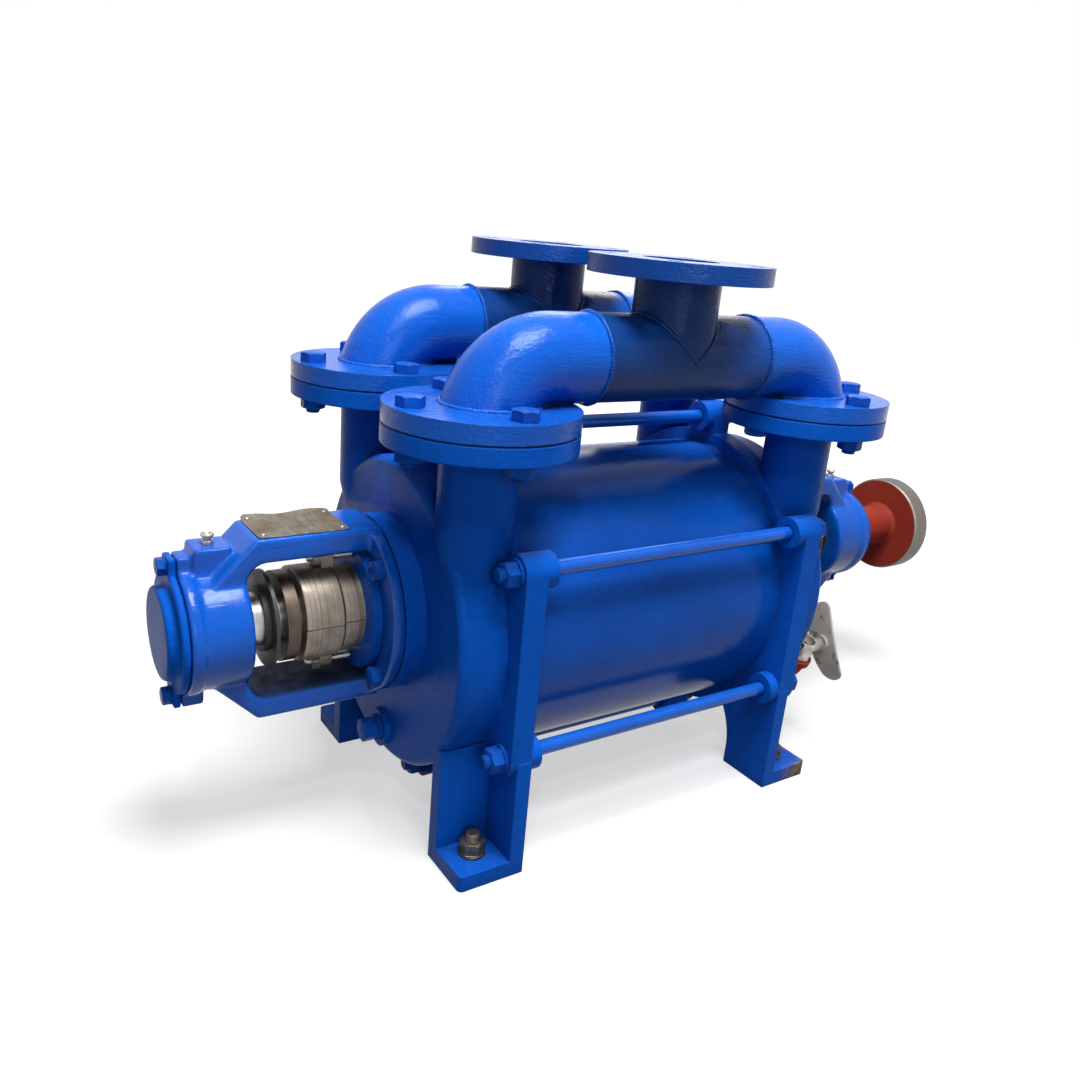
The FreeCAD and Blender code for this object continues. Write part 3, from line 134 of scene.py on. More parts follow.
def plus(tree, first, second, clamp=False):
    return mathNode(tree, "ADD", first, second, clamp=clamp)


def minus(tree, first, second):
    return mathNode(tree, "SUBTRACT", first, second)


def larger(tree, first, second):
    return mathNode(tree, "MAXIMUM", first, second)


def vectorNode(tree, operation, *vectors, **others):
    given = {**dict(enumerate(vectors)), **others}
    return addNode(tree, "ShaderNodeVectorMath", given, operation=operation).outputs


def rangeNode(tree, value, fromLow, fromHigh, toLow=0.0, toHigh=1.0):
    ends = {"From Min": fromLow, "From Max": fromHigh, "To Min": toLow, "To Max": toHigh}
    return addNode(tree, "ShaderNodeMapRange", {"Value": value, **ends}).outputs["Result"]


def mixColour(tree, factor, first, second):
    node = addNode(tree, "ShaderNodeMix", data_type="RGBA")
    active = [index for index, socket in enumerate(node.inputs) if socket.enabled]
    values = [(*value, 1) if isinstance(value, tuple) else value for value in (factor, first, second)]
    fill(tree, node, dict(zip(active, values)))
    return [socket for socket in node.outputs if socket.enabled][0]


def noiseNode(tree, vector, scale, detail=3.0, roughness=0.55):
    values = {"Vector": vector, "Scale": scale, "Detail": detail, "Roughness": roughness}
    return addNode(tree, "ShaderNodeTexNoise", values).outputs["Fac"]


def stretched(tree, vector, scale):
    return addNode(tree, "ShaderNodeMapping", {"Vector": vector, "Scale": scale}).outputs["Vector"]


def objectPoint(tree):
    return addNode(tree, "ShaderNodeTexCoord").outputs["Object"]


def normalOf(tree):
    return addNode(tree, "ShaderNodeNewGeometry").outputs["Normal"]


def splitUp(tree, vector):
    return list(addNode(tree, "ShaderNodeSeparateXYZ", {0: vector}).outputs)


def join(tree, **parts):
    return addNode(tree, "ShaderNodeCombineXYZ", parts).outputs[0]


def fromShaft(tree, y, z):
    # distance from the shaft line
    high = minus(tree, z, shaftHeight * mm)
    return mathNode(tree, "SQRT", plus(tree, times(tree, high, high), times(tree, y, y)))


def unevenness(tree, place, width, scale, detail=3.0, roughness=0.55):
    # a wandering offset that keeps a paint line from running straight
    return times(tree, minus(tree, noiseNode(tree, place, scale, detail, roughness), 0.5), width)


def startGroup(name, inputs):
    group = bpy.data.node_groups.new(name, "ShaderNodeTree")
    for socketName, usual in inputs.items():
        socket = group.interface.new_socket(name=socketName, in_out="INPUT", socket_type="NodeSocketFloat")
        socket.default_value = usual
    return group, group.nodes.new("NodeGroupInput").outputs


def finishGroup(group, outputs):
    for socketName in outputs:
        kind = "NodeSocketVector" if socketName == "Normal" else "NodeSocketFloat"
        group.interface.new_socket(name=socketName, in_out="OUTPUT", socket_type=kind)
    addNode(group, "NodeGroupOutput", outputs)
    return group


def makePaintGroup():
    # brushed enamel: ripples from the brush, fine grain, dull patches and dust on what faces up
    inputs = {"Ripple": 0.5, "Grain": 0.3, "Dust": 0.3, "Grain Scale": 300.0}
    group, given = startGroup("brushedEnamel", inputs)
    place = objectPoint(group)
    waves = noiseNode(group, place, 22.0, 2.0)
    brush = noiseNode(group, stretched(group, place, (60.0, 420.0, 420.0)), 1.0)
    grain = noiseNode(group, place, given["Grain Scale"], 4.0, 0.5)
    ripple = times(group, plus(group, waves, times(group, brush, 0.35)), given["Ripple"])
    facingUp = rangeNode(group, splitUp(group, normalOf(group))[2], 0.5, 1.0)
    speckle = rangeNode(group, noiseNode(group, place, 160.0, 6.0, 0.7), 0.45, 0.75)
    return finishGroup(group, {
        "Height": plus(group, ripple, times(group, grain, given["Grain"])),
        "Patches": rangeNode(group, noiseNode(group, place, 9.0, 5.0, 0.6), 0.38, 0.68),
        "Dust": times(group, times(group, facingUp, speckle), given["Dust"], clamp=True),
        "Streaks": rangeNode(group, brush, 0.35, 0.7),
    })


def makeEdgeGroup():
    # soft edges for the light, and a mask for wear where two faces meet
    group, given = startGroup("edgeWear", {"Radius": 0.002, "Break Up": 0.5})
    bevel = addNode(group, "ShaderNodeBevel", {"Radius": given["Radius"]}, samples=6).outputs["Normal"]
    agreement = vectorNode(group, "DOT_PRODUCT", bevel, normalOf(group))["Value"]
    edge = rangeNode(group, agreement, 0.985, 0.8)
    chips = rangeNode(group, noiseNode(group, objectPoint(group), 210.0, 6.0, 0.75), 0.45, 0.62)
    mask = times(group, edge, chips, clamp=True)
    return finishGroup(group, {"Edge": times(group, mask, given["Break Up"]), "Normal": bevel})


def makeGrimeAndShadeGroup():
    # dark grime together with painted shade: ambient occlusion darkens corners, recesses and gaps where
    # shade falls, broken up by noise
    group, given = startGroup("cornerGrimeAndShade", {"Reach": 0.02, "Amount": 0.6})
    corner = addNode(group, "ShaderNodeAmbientOcclusion", {"Distance": given["Reach"]}, samples=6)
    breakUp = rangeNode(group, noiseNode(group, objectPoint(group), 60.0, 5.0, 0.7), 0.3, 0.7)
    deep = rangeNode(group, corner.outputs["AO"], 0.75, 0.25)
    grimeAndShade = times(group, times(group, deep, breakUp), given["Amount"], clamp=True)
    return finishGroup(group, {"GrimeAndShade": grimeAndShade})


def makeTurningGroup():
    # fine rings left by the lathe, about the shaft line, with scratches and stains
    group, given = startGroup("turningMarks", {"Ring Scale": 900.0, "Stain": 0.5})
    place = objectPoint(group)
    x, y, z = splitUp(group, place)
    unrolled = join(group, X=x, Y=fromShaft(group, y, z))
    scaled = vectorNode(group, "SCALE", unrolled, Scale=given["Ring Scale"])[0]
    rings = noiseNode(group, scaled, 1.0, 3.0, 0.5)
    stain = rangeNode(group, noiseNode(group, place, 45.0, 6.0, 0.65), 0.42, 0.7)
    stain = times(group, stain, given["Stain"], clamp=True)
    shown = rangeNode(group, rings, 0.35, 0.65)
    return finishGroup(group, {"Height": rings, "Rings": shown, "Stain": stain})


paintGroup = makePaintGroup()
edgeGroup = makeEdgeGroup()
grimeAndShadeGroup = makeGrimeAndShadeGroup()
turningGroup = makeTurningGroup()


def groupNode(tree, group, values):
    return addNode(tree, "ShaderNodeGroup", values, node_tree=group).outputs


def newMaterial(name):
    material = bpy.data.materials.new(name)
    material.use_nodes = True
    tree = material.node_tree
    return material, tree, next(n for n in tree.nodes if n.type == "BSDF_PRINCIPLED")


def bumped(tree, height, distance, normal):
    values = {"Height": height, "Distance": distance, "Normal": normal}
    return addNode(tree, "ShaderNodeBump", values).outputs["Normal"]


# Painted finishes. Their tones are the plain paint, its patches and the thin brush streaks.

def makeEnamel(name, look):
    material, tree, shader = newMaterial(name)
    brush = {"Ripple": look["ripple"], "Grain": look["grain"], "Grain Scale": look["grainScale"]}
    paint = groupNode(tree, paintGroup, {**brush, "Dust": look["dust"]})
    edge = groupNode(tree, edgeGroup, {"Radius": look["bevel"], "Break Up": look["wear"]})
    grimeAndShade = groupNode(tree, grimeAndShadeGroup, {"Reach": look["grimeAndShadeReach"], "Amount": look["grimeAndShade"]})["GrimeAndShade"]
    plain, patches, thin = look["tones"]
    colour = mixColour(tree, paint["Patches"], plain, patches)
    colour = mixColour(tree, times(tree, paint["Streaks"], look["streaks"]), colour, thin)
    colour = mixColour(tree, paint["Dust"], colour, look["dusty"])
    # grime and painted shade: corners and recesses darkened from ambient occlusion
    colour = mixColour(tree, grimeAndShade, colour, look["grimeAndShadeTone"])
    colour = mixColour(tree, edge["Edge"], colour, look["worn"])
    rough = rangeNode(tree, paint["Patches"], 0.0, 1.0, *look["rough"])
    dirt = times(tree, larger(tree, paint["Dust"], grimeAndShade), look["dirtRough"])
    rough = plus(tree, rough, dirt, clamp=True)
    if "extra" in look:
        colour, rough, metal = look["extra"](tree, colour, rough)
        fill(tree, shader, {"Metallic": metal})
    fill(tree, shader, {
        "Base Color": colour, "Roughness": rough,
        "IOR": look["gloss"], "Specular Tint": (*look["sheen"], 1),
        "Normal": bumped(tree, paint["Height"], look["bump"], edge["Normal"])})
    return material


footWear = {
    "along": (0.205, 0.235), "front": (-0.187, -0.192), "low": (0.022, 0.014), "side": (0.25, 0.255),
    "wander": 0.04, "steel": (0.21, 0.18, 0.15), "rust": (0.1, 0.055, 0.03), "rough": 0.6,
}


def bareFoot(tree, colour, rough):
    # the drive end's front foot has lost its paint along the outer lower edge
    place = objectPoint(tree)
    x, y, z = splitUp(tree, place)
    wander = unevenness(tree, place, footWear["wander"], 90.0, 6.0, 0.7)

    def reached(coordinate, limits):
        return rangeNode(tree, plus(tree, coordinate, wander), *footWear[limits])

    touched = larger(tree, times(tree, reached(x, "along"), reached(y, "front")), reached(x, "side"))
    forward = mathNode(tree, "LESS_THAN", y, 0.0)
    bare = times(tree, times(tree, touched, reached(z, "low")), forward, clamp=True)
    spots = rangeNode(tree, noiseNode(tree, place, 240.0, 5.0), 0.4, 0.65)
    rusty = mixColour(tree, spots, footWear["steel"], footWear["rust"])
    rough = larger(tree, rough, times(tree, bare, footWear["rough"]))
    return mixColour(tree, bare, colour, rusty), rough, 0.0


# painted shade along the straight pipe and its branch
stretchShadeSetup = {
    "weld": (0.112, 0.106), "branch": (0.592, 0.596), "fade": (0.03, 0.07, 0.8, 0.52),
    "flange": (0.602, 0.608, 1.0, 0.65), "wander": 0.008, "colour": (0.004, 0.02, 0.08), "rough": 0.12,
}


def paintedStretchShade(tree, colour, rough):
    # painted shade: the straight pipe and its branch are painted darker than the elbows in place of the
    # darker reflections they show, and made rougher
    place = objectPoint(tree)
    x, y, z = splitUp(tree, place)
    wander = unevenness(tree, place, stretchShadeSetup["wander"], 60.0, 4.0)
    along = plus(tree, mathNode(tree, "ABSOLUTE", x), wander)
    branch = rangeNode(tree, z, *stretchShadeSetup["branch"])
    straight = larger(tree, rangeNode(tree, along, *stretchShadeSetup["weld"]), branch)
    fading = rangeNode(tree, minus(tree, x, branch), *stretchShadeSetup["fade"])
    mask = times(tree, times(tree, straight, fading), rangeNode(tree, z, *stretchShadeSetup["flange"]))
    rough = plus(tree, rough, times(tree, mask, stretchShadeSetup["rough"]))
    return mixColour(tree, mask, colour, stretchShadeSetup["colour"]), rough, 0.0


# painted shade inside the bearing bracket's window
windowShadeSetup = {
    "low": (0.222, 0.206), "upward": (0.1, 0.5), "ring": (0.078, 0.062), "inboard": (0.335, 0.325),
    "wander": 0.03, "cover": 0.92, "colour": (0.002, 0.006, 0.018), "rough": 0.45,
}


def paintedWindowShade(tree, colour, rough):
    # painted shade: inside the bracket's window the up-facing faces of the lower arm and the ring round the
    # shaft behind it are painted near black
    place = objectPoint(tree)
    x, y, z = splitUp(tree, place)
    wander = unevenness(tree, place, windowShadeSetup["wander"], 55.0, 5.0, 0.65)
    low = rangeNode(tree, plus(tree, z, wander), *windowShadeSetup["low"])
    facingUp = times(tree, rangeNode(tree, splitUp(tree, normalOf(tree))[2], *windowShadeSetup["upward"]), low)
    ring = rangeNode(tree, plus(tree, fromShaft(tree, y, z), wander), *windowShadeSetup["ring"])
    inboard = rangeNode(tree, mathNode(tree, "ABSOLUTE", x), *windowShadeSetup["inboard"])
    mask = times(tree, larger(tree, facingUp, times(tree, ring, inboard)), windowShadeSetup["cover"])
    rough = plus(tree, rough, times(tree, mask, windowShadeSetup["rough"]))
    return mixColour(tree, mask, colour, windowShadeSetup["colour"]), rough, 0.0


rimSteel = {
    "line": (0.0676, 0.068), "wander": 0.0016, "tones": [(0.15, 0.125, 0.105), (0.27, 0.24, 0.205)],
    "rough": 0.5, "metal": 0.75,
}


def bareRim(tree, colour, rough):
    # the coupling's rim is turned bare, with a ragged paint line at its edges
    place = objectPoint(tree)
    x, y, z = splitUp(tree, place)
    edge = plus(tree, fromShaft(tree, y, z), unevenness(tree, place, rimSteel["wander"], 130.0, 5.0))
    bare = rangeNode(tree, edge, *rimSteel["line"])
    marks = rangeNode(tree, noiseNode(tree, stretched(tree, place, (1500.0, 30.0, 30.0)), 1.0), 0.35, 0.65)
    steel = mixColour(tree, marks, *rimSteel["tones"])
    rough = larger(tree, rough, times(tree, bare, rimSteel["rough"]))
    return mixColour(tree, bare, colour, steel), rough, times(tree, bare, rimSteel["metal"])


blueLook = {
    "tones": [(0.002, 0.074, 0.44), (0.003, 0.096, 0.53), (0.01, 0.13, 0.6)],
    "dusty": (0.11, 0.18, 0.36), "grimeAndShadeTone": (0.002, 0.01, 0.04), "worn": (0.03, 0.14, 0.44),
    "ripple": 1.0, "grain": 0.25, "grainScale": 420.0, "dust": 0.2, "streaks": 0.25, "bevel": 0.0022,
    # corners and recesses darken with grime together with painted shade
    "wear": 0.35, "grimeAndShade": 0.8, "grimeAndShadeReach": 0.03, "rough": (0.26, 0.4), "dirtRough": 0.35, "gloss": 1.13,
    "sheen": (0.6, 0.78, 1.0), "bump": 0.0008,
}
enamelLooks = {  # what differs from the blue above
    "castBlueEnamel": {"extra": bareFoot},
    "pipeBlueEnamel": {
        "ripple": 1.3, "grain": 0.45, "grainScale": 260.0, "gloss": 1.25, "sheen": (0.75, 0.88, 1.0),
        # the straight stretch carries painted shade
        "rough": (0.12, 0.22), "bevel": 0.0014, "bump": 0.001, "extra": paintedStretchShade},
    "bracketBlueEnamel": {
        # a long reach paints deep shade into the bracket's window and hollows
        "bevel": 0.002, "grimeAndShade": 1.0, "grimeAndShadeReach": 0.09, "gloss": 1.3, "sheen": (0.8, 0.9, 1.0),
        # the window's inside carries painted shade
        "rough": (0.11, 0.19), "grain": 0.15, "extra": paintedWindowShade},
    "capBlueEnamel": {"gloss": 1.1, "sheen": (0.3, 0.6, 1.0), "rough": (0.3, 0.45)},
    "boltBlueEnamel": {
        "tones": [(0.008, 0.06, 0.34), (0.003, 0.096, 0.53), (0.01, 0.13, 0.6)], "bevel": 0.0007,
        "wear": 0.6, "grimeAndShadeReach": 0.008, "grimeAndShade": 0.9, "dust": 0.4, "ripple": 0.6},
    "tieRodEnamel": {
        "gloss": 1.38, "sheen": (0.75, 0.87, 1.0), "rough": (0.14, 0.24), "bevel": 0.0007,
        "grain": 0.12, "ripple": 0.5},
    "flangeSeamPaint": {
        "tones": [(0.001, 0.022, 0.14), (0.002, 0.035, 0.2), (0.004, 0.05, 0.26)],
        "wear": 0.0, "dust": 0.0, "bevel": 0.0004},
    "barrelBlueEnamel": {
        "tones": [(0.002, 0.06, 0.36), (0.003, 0.082, 0.46), (0.008, 0.11, 0.52)],
        "ripple": 0.7, "grain": 0.1, "bevel": 0.001, "gloss": 1.19, "rough": (0.119, 0.204),
        "dirtRough": 0.2975},
    "redCouplingEnamel": {
        "tones": [(0.24, 0.028, 0.018), (0.3, 0.038, 0.022), (0.34, 0.05, 0.03)],
        "dusty": (0.32, 0.2, 0.17), "grimeAndShadeTone": (0.04, 0.01, 0.008), "worn": (0.3, 0.22, 0.18),
        "rough": (0.32, 0.48), "bevel": 0.0012, "extra": bareRim},
    "redPrimer": {
        "tones": [(0.36, 0.045, 0.02), (0.42, 0.06, 0.03), (0.45, 0.09, 0.05)],
        "dusty": (0.4, 0.3, 0.25), "grimeAndShadeTone": (0.07, 0.015, 0.01), "worn": (0.3, 0.2, 0.16),
        "rough": (0.45, 0.6), "bevel": 0.0012, "bump": 0.0006},
}
finish = {name: makeEnamel(name, {**blueLook, **change}) for name, change in enamelLooks.items()}


# Bare metals. Their tones are the plain metal, the lathe's rings and the stains.

def makeSteel(name, look):
    material, tree, shader = newMaterial(name)
    marks = groupNode(tree, turningGroup, {"Ring Scale": look["ringScale"], "Stain": look["stain"]})
    edge = groupNode(tree, edgeGroup, {"Radius": look["bevel"], "Break Up": look["edgeShine"]})
    grimeAndShade = groupNode(tree, grimeAndShadeGroup, {"Reach": look["grimeAndShadeReach"], "Amount": look["grimeAndShade"]})["GrimeAndShade"]
    plain, rings, stain = look["tones"]
    colour = mixColour(tree, marks["Rings"], plain, rings)
    colour = mixColour(tree, marks["Stain"], colour, stain)
    # grime and painted shade: corners and recesses darkened from ambient occlusion
    colour = mixColour(tree, grimeAndShade, colour, look["grimeAndShadeTone"])
    colour = mixColour(tree, edge["Edge"], colour, look["worn"])
    rough = rangeNode(tree, marks["Rings"], 0.0, 1.0, *look["rough"])
    metal = look["metal"]
    if metal == 1.0:  # stains take the shine off clean metal
        metal = minus(tree, metal, times(tree, marks["Stain"], 0.5))
    fill(tree, shader, {
        "Base Color": colour, "Metallic": metal,
        "Roughness": plus(tree, rough, times(tree, marks["Stain"], 0.3), clamp=True),
        "Normal": bumped(tree, marks["Height"], look["bump"], edge["Normal"])})
    return material


steelLook = {
    "tones": [(0.46, 0.45, 0.43), (0.58, 0.57, 0.55), (0.22, 0.19, 0.16)],
    "grimeAndShadeTone": (0.05, 0.045, 0.04), "worn": (0.75, 0.74, 0.72), "ringScale": 1400.0, "stain": 0.5,
    # corners and thread roots darken with grime together with painted shade
    "bevel": 0.0008, "edgeShine": 0.7, "grimeAndShade": 0.8, "grimeAndShadeReach": 0.008, "rough": (0.22, 0.36),
    "metal": 1.0, "bump": 0.00006,
}
steelLooks = {  # what differs from the steel above
    "machinedSteel": {},
    "polishedGland": {
        "tones": [(0.19, 0.16, 0.13), (0.34, 0.3, 0.255), (0.13, 0.1, 0.07)],
        # painted shade deep in the recess around the gland
        "grimeAndShade": 1.0, "grimeAndShadeReach": 0.03, "ringScale": 420.0, "rough": (0.4, 0.56), "stain": 0.6},
    "bearingSteel": {"rough": (0.1, 0.18), "stain": 0.1},
    "oiledSteel": {
        "tones": [(0.065, 0.048, 0.04), (0.1, 0.075, 0.06), (0.13, 0.1, 0.075)],
        "worn": (0.3, 0.25, 0.2), "rough": (0.35, 0.5)},
    "weatheredZinc": {
        "tones": [(0.42, 0.41, 0.39), (0.55, 0.54, 0.5), (0.25, 0.17, 0.1)],
        "stain": 0.6, "rough": (0.38, 0.55), "ringScale": 300.0, "bump": 0.0001},
    "oilyStudSteel": {
        "tones": [(0.09, 0.08, 0.07), (0.17, 0.155, 0.14), (0.07, 0.045, 0.03)],
        "stain": 0.7, "rough": (0.32, 0.48), "worn": (0.45, 0.42, 0.38), "ringScale": 300.0,
        "bump": 0.0001},
    "oldBrass": {
        "tones": [(0.42, 0.27, 0.1), (0.52, 0.35, 0.14), (0.18, 0.1, 0.05)],
        "worn": (0.7, 0.52, 0.25), "rough": (0.25, 0.4)},
    "bareTinPlate": {
        "tones": [(0.13, 0.115, 0.09), (0.2, 0.18, 0.145), (0.1, 0.06, 0.03)],
        "stain": 0.8, "rough": (0.5, 0.7), "metal": 0.4, "ringScale": 200.0, "bump": 0.0001},
    "greyCastIron": {
        "tones": [(0.14, 0.135, 0.13), (0.19, 0.185, 0.18), (0.16, 0.08, 0.04)],
        "stain": 0.7, "metal": 0.6, "rough": (0.5, 0.7), "ringScale": 250.0, "bump": 0.0003},
}
finish.update({name: makeSteel(name, {**steelLook, **change}) for name, change in steelLooks.items()})


# Rubber, fibre and plaited packing, in tones for plain, patched and worn

def makeDull(name, look):
    material, tree, shader = newMaterial(name)
    place = objectPoint(tree)
    patches = rangeNode(tree, noiseNode(tree, place, look["patchScale"], 5.0, 0.65), 0.35, 0.7)
    edge = groupNode(tree, edgeGroup, {"Radius": look["bevel"], "Break Up": 0.3})
    plain, patched, worn = look["tones"]
    colour = mixColour(tree, patches, plain, patched)
    grain = noiseNode(tree, place, look["grainScale"], 4.0)
    fill(tree, shader, {
        "Base Color": mixColour(tree, edge["Edge"], colour, worn),
        "Roughness": rangeNode(tree, patches, 0.0, 1.0, *look["rough"]),
        "Normal": bumped(tree, grain, look["bump"], edge["Normal"])})
    return material


dullLooks = {
    "blackRubber": {
        "tones": [(0.012, 0.012, 0.012), (0.03, 0.03, 0.03), (0.06, 0.06, 0.06)],
        "patchScale": 60.0, "grainScale": 700.0, "bevel": 0.0008, "rough": (0.45, 0.65), "bump": 0.0002},
    "fibreGasket": {
        "tones": [(0.02, 0.03, 0.07), (0.05, 0.05, 0.05), (0.1, 0.1, 0.1)],
        "patchScale": 90.0, "grainScale": 900.0, "bevel": 0.0003, "rough": (0.6, 0.8), "bump": 0.0002},
    "greasedPacking": {
        "tones": [(0.22, 0.2, 0.15), (0.32, 0.29, 0.22), (0.4, 0.37, 0.3)],
        "patchScale": 120.0, "grainScale": 500.0, "bevel": 0.0008, "rough": (0.6, 0.8), "bump": 0.0006},
}
finish.update({name: makeDull(name, look) for name, look in dullLooks.items()})

handleLook = {
    "tones": [(0.5, 0.475, 0.415), (0.68, 0.655, 0.59), (0.12, 0.055, 0.025)],
    "rust": (0.56, 0.66), "edgeRust": 0.8, "rough": (0.42, 0.8), "bevel": 0.0015, "bump": 0.0004,
}


def makeHandlePaint(name, look):
    material, tree, shader = newMaterial(name)
    paint = groupNode(tree, paintGroup, {"Ripple": 0.6, "Grain": 0.5, "Dust": 0.3, "Grain Scale": 500.0})
    edge = groupNode(tree, edgeGroup, {"Radius": look["bevel"], "Break Up": 1.0})
    rust = rangeNode(tree, noiseNode(tree, objectPoint(tree), 75.0, 8.0, 0.72), *look["rust"])
    rust = larger(tree, rust, times(tree, edge["Edge"], look["edgeRust"]))
    plain, patches, rusted = look["tones"]
    colour = mixColour(tree, paint["Patches"], plain, patches)
    height = plus(tree, paint["Height"], rust)
    fill(tree, shader, {
        "Base Color": mixColour(tree, rust, colour, rusted),
        "Roughness": rangeNode(tree, rust, 0.0, 1.0, *look["rough"]),
        "Normal": bumped(tree, height, look["bump"], edge["Normal"])})
    return material


finish["weatheredHandle"] = makeHandlePaint("weatheredHandle", handleLook)
print("materials ready:", len(finish))


# CAD solids that keep their shape, as merged copies with smooth shading.
# Nodes that aren't in this list get their own pieces further down.

dressing = [  # finish, slot, nodes, where a star stands for both ends of the pump
    ("castBlueEnamel", "blue_enamel", "*_end_cover"),
    ("barrelBlueEnamel", "blue_enamel", "casing_barrel"),
    ("pipeBlueEnamel", "blue_enamel", "suction_manifold discharge_manifold"),
    ("bracketBlueEnamel", "blue_enamel", "*_bearing_bracket"),
    ("capBlueEnamel", "blue_enamel", "*_bearing_cap"),
    ("fibreGasket", "gasket", "manifold_gaskets *_casing_gasket"),
    ("polishedGland", "polished_steel", "*_gland"),
    ("machinedSteel", "machined_steel", "shaft *_shaft_sleeve shaft_nuts"),
    ("machinedSteel", "machined_steel", "impeller_key coupling_key valve_ball"),
    ("oiledSteel", "dark_steel", "sleeve_collars"),
    ("blackRubber", "black_rubber", "*_slinger *_valve_flap *_bearing_seal"),
    ("greasedPacking", "packing", "*_packing_rings"),
    ("oldBrass", "bronze", "*_lantern_ring *_bearing_cage"),
    ("bearingSteel", "bearing_steel", "nde_bearing_outer_race nde_bearing_inner_race nde_bearing_balls"),
    ("bearingSteel", "bearing_steel", "de_bearing_outer_race de_bearing_inner_race de_bearing_rollers"),
    ("greyCastIron", "cast_iron", "impeller *_port_plate"),
    ("redCouplingEnamel", "red_enamel", "coupling_half"),
    ("redPrimer", "red_primer", "drain_elbow"),
    ("weatheredZinc", "zinc", "valve_body drain_nipples handle_nut"),
    ("weatheredHandle", "handle", "wing_handle"),
]
castingSetup = {"grid": 0.0021, "passes": 10, "strength": 0.5, "pieces": "*_bearing_bracket *_bearing_cap"}
smoothSetup = {"weld": 2e-6, "flat": 0.2, "sharp": 32.0}  # metres, degrees, degrees


def nodeNames(words):
    ends = {True: ("nde", "de"), False: ("",)}
    return [word.replace("*", end) for word in words.split() for end in ends["*" in word]]


def evaluatedMesh(maker):
    return bpy.data.meshes.new_from_object(maker.evaluated_get(bpy.context.evaluated_depsgraph_get()))


def mergedMesh(name, setup):
    mesh = nodes[name].data.copy()
    work = bmesh.new()
    work.from_mesh(mesh)
    bmesh.ops.remove_doubles(work, verts=work.verts, dist=setup["weld"])
    flat = math.radians(setup["flat"])
    bmesh.ops.dissolve_limit(work, angle_limit=flat, verts=work.verts, edges=work.edges)
    work.to_mesh(mesh)
    work.free()
    mesh.materials.clear()
    return mesh


def roundedMesh(mesh, setup):
    # sand-cast corners: the solid is measured on a fine grid, then its corners are eased
    maker = addObject("roundingSource", mesh)
    grid = maker.modifiers.new("grid", "REMESH")
    grid.mode = "VOXEL"
    grid.voxel_size = setup["grid"]
    ease = maker.modifiers.new("ease", "SMOOTH")
    ease.factor = setup["strength"]
    ease.iterations = setup["passes"]
    rounded = evaluatedMesh(maker)
    bpy.data.objects.remove(maker)
    return rounded


def shadeRound(mesh, sharpAngle):
    # round faces shade smoothly, and edges between faces turned further than the angle stay crisp
    mesh.shade_smooth()
    work = bmesh.new()
    work.from_mesh(mesh)
    for edge in work.edges:
        edge.smooth = edge.calc_face_angle(0) < math.radians(sharpAngle)
    work.to_mesh(mesh)
    work.free()


def addPiece(name, mesh, instead="", sharpAngle=35.0, body="frame"):
    shadeRound(mesh, sharpAngle)
    piece = addObject(name, mesh)
    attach(piece, body)
    if instead:
        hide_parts(*instead.split())


def smoothCopy(name, finishName):
    mesh = mergedMesh(name, smoothSetup)
    sharpAngle = smoothSetup["sharp"]
    if name in nodeNames(castingSetup["pieces"]):
        mesh = roundedMesh(mesh, castingSetup)
        sharpAngle = 180.0
    mesh.materials.append(finish[finishName])
    addPiece(name + "_dressed", mesh, name, sharpAngle, nodes[name]["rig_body"])


for finishName, slotName, words in dressing:
    for name in nodeNames(words):
        smoothCopy(name, finishName)
print("solids dressed")


# Geometry Nodes helpers

def startShapes(name, numbers):
    tree = bpy.data.node_groups.new(name, "GeometryNodeTree")
    kinds = {"Source": "Geometry", **dict.fromkeys(numbers, "Float"), "Seed": "Int", "Material": "Material"}
    for socketName, kind in kinds.items():
        tree.interface.new_socket(name=socketName, in_out="INPUT", socket_type="NodeSocket" + kind)
    tree.interface.new_socket(name="Mesh", in_out="OUTPUT", socket_type="NodeSocketGeometry")
    return tree, tree.nodes.new("NodeGroupInput").outputs


def finishShapes(tree, given, mesh):
    realized = addNode(tree, "GeometryNodeRealizeInstances", {"Geometry": mesh}).outputs[0]
    values = {"Geometry": realized, "Material": given["Material"]}
    addNode(tree, "NodeGroupOutput", {"Mesh": addNode(tree, "GeometryNodeSetMaterial", values).outputs[0]})
    return tree


def raised(tree, geometry, height):
    lift = {"Geometry": geometry, "Translation": join(tree, Z=height)}
    return addNode(tree, "GeometryNodeTransform", lift).outputs[0]


def pushed(tree, geometry, direction, distance):
    offset = vectorNode(tree, "SCALE", direction, Scale=distance)[0]
    return addNode(tree, "GeometryNodeSetPosition", {"Geometry": geometry, "Offset": offset}).outputs[0]


def bakeShapes(name, source, tree, values, finishName, instead="", sharpAngle=35.0):
    # runs the node tree once and keeps its result as a plain mesh
    maker = addObject(name + "Source", source)
    modifier = maker.modifiers.new(name, "NODES")
    modifier.node_group = tree
    wanted = {**values, "Material": finish[finishName]}
    for item in tree.interface.items_tree:
        if item.in_out == "INPUT" and item.name in wanted:
            modifier[item.identifier] = wanted[item.name]
    mesh = evaluatedMesh(maker)
    maker.modifiers.remove(modifier)
    bpy.data.objects.remove(maker)
    if "axis" in mesh.attributes:
        mesh.attributes.remove(mesh.attributes["axis"])
    mesh.name = name
    addPiece(name, mesh, instead, sharpAngle)


def placesMesh(name, places):
    # one loose point for each (point, axis) in millimetres
    mesh = bpy.data.meshes.new(name + "Places")
    mesh.from_pydata([at(*place) for place, axis in places], [], [])
    directions = mesh.attributes.new("axis", "FLOAT_VECTOR", "POINT")
    for index, (place, axis) in enumerate(places):
        directions.data[index].vector = axis
    return mesh


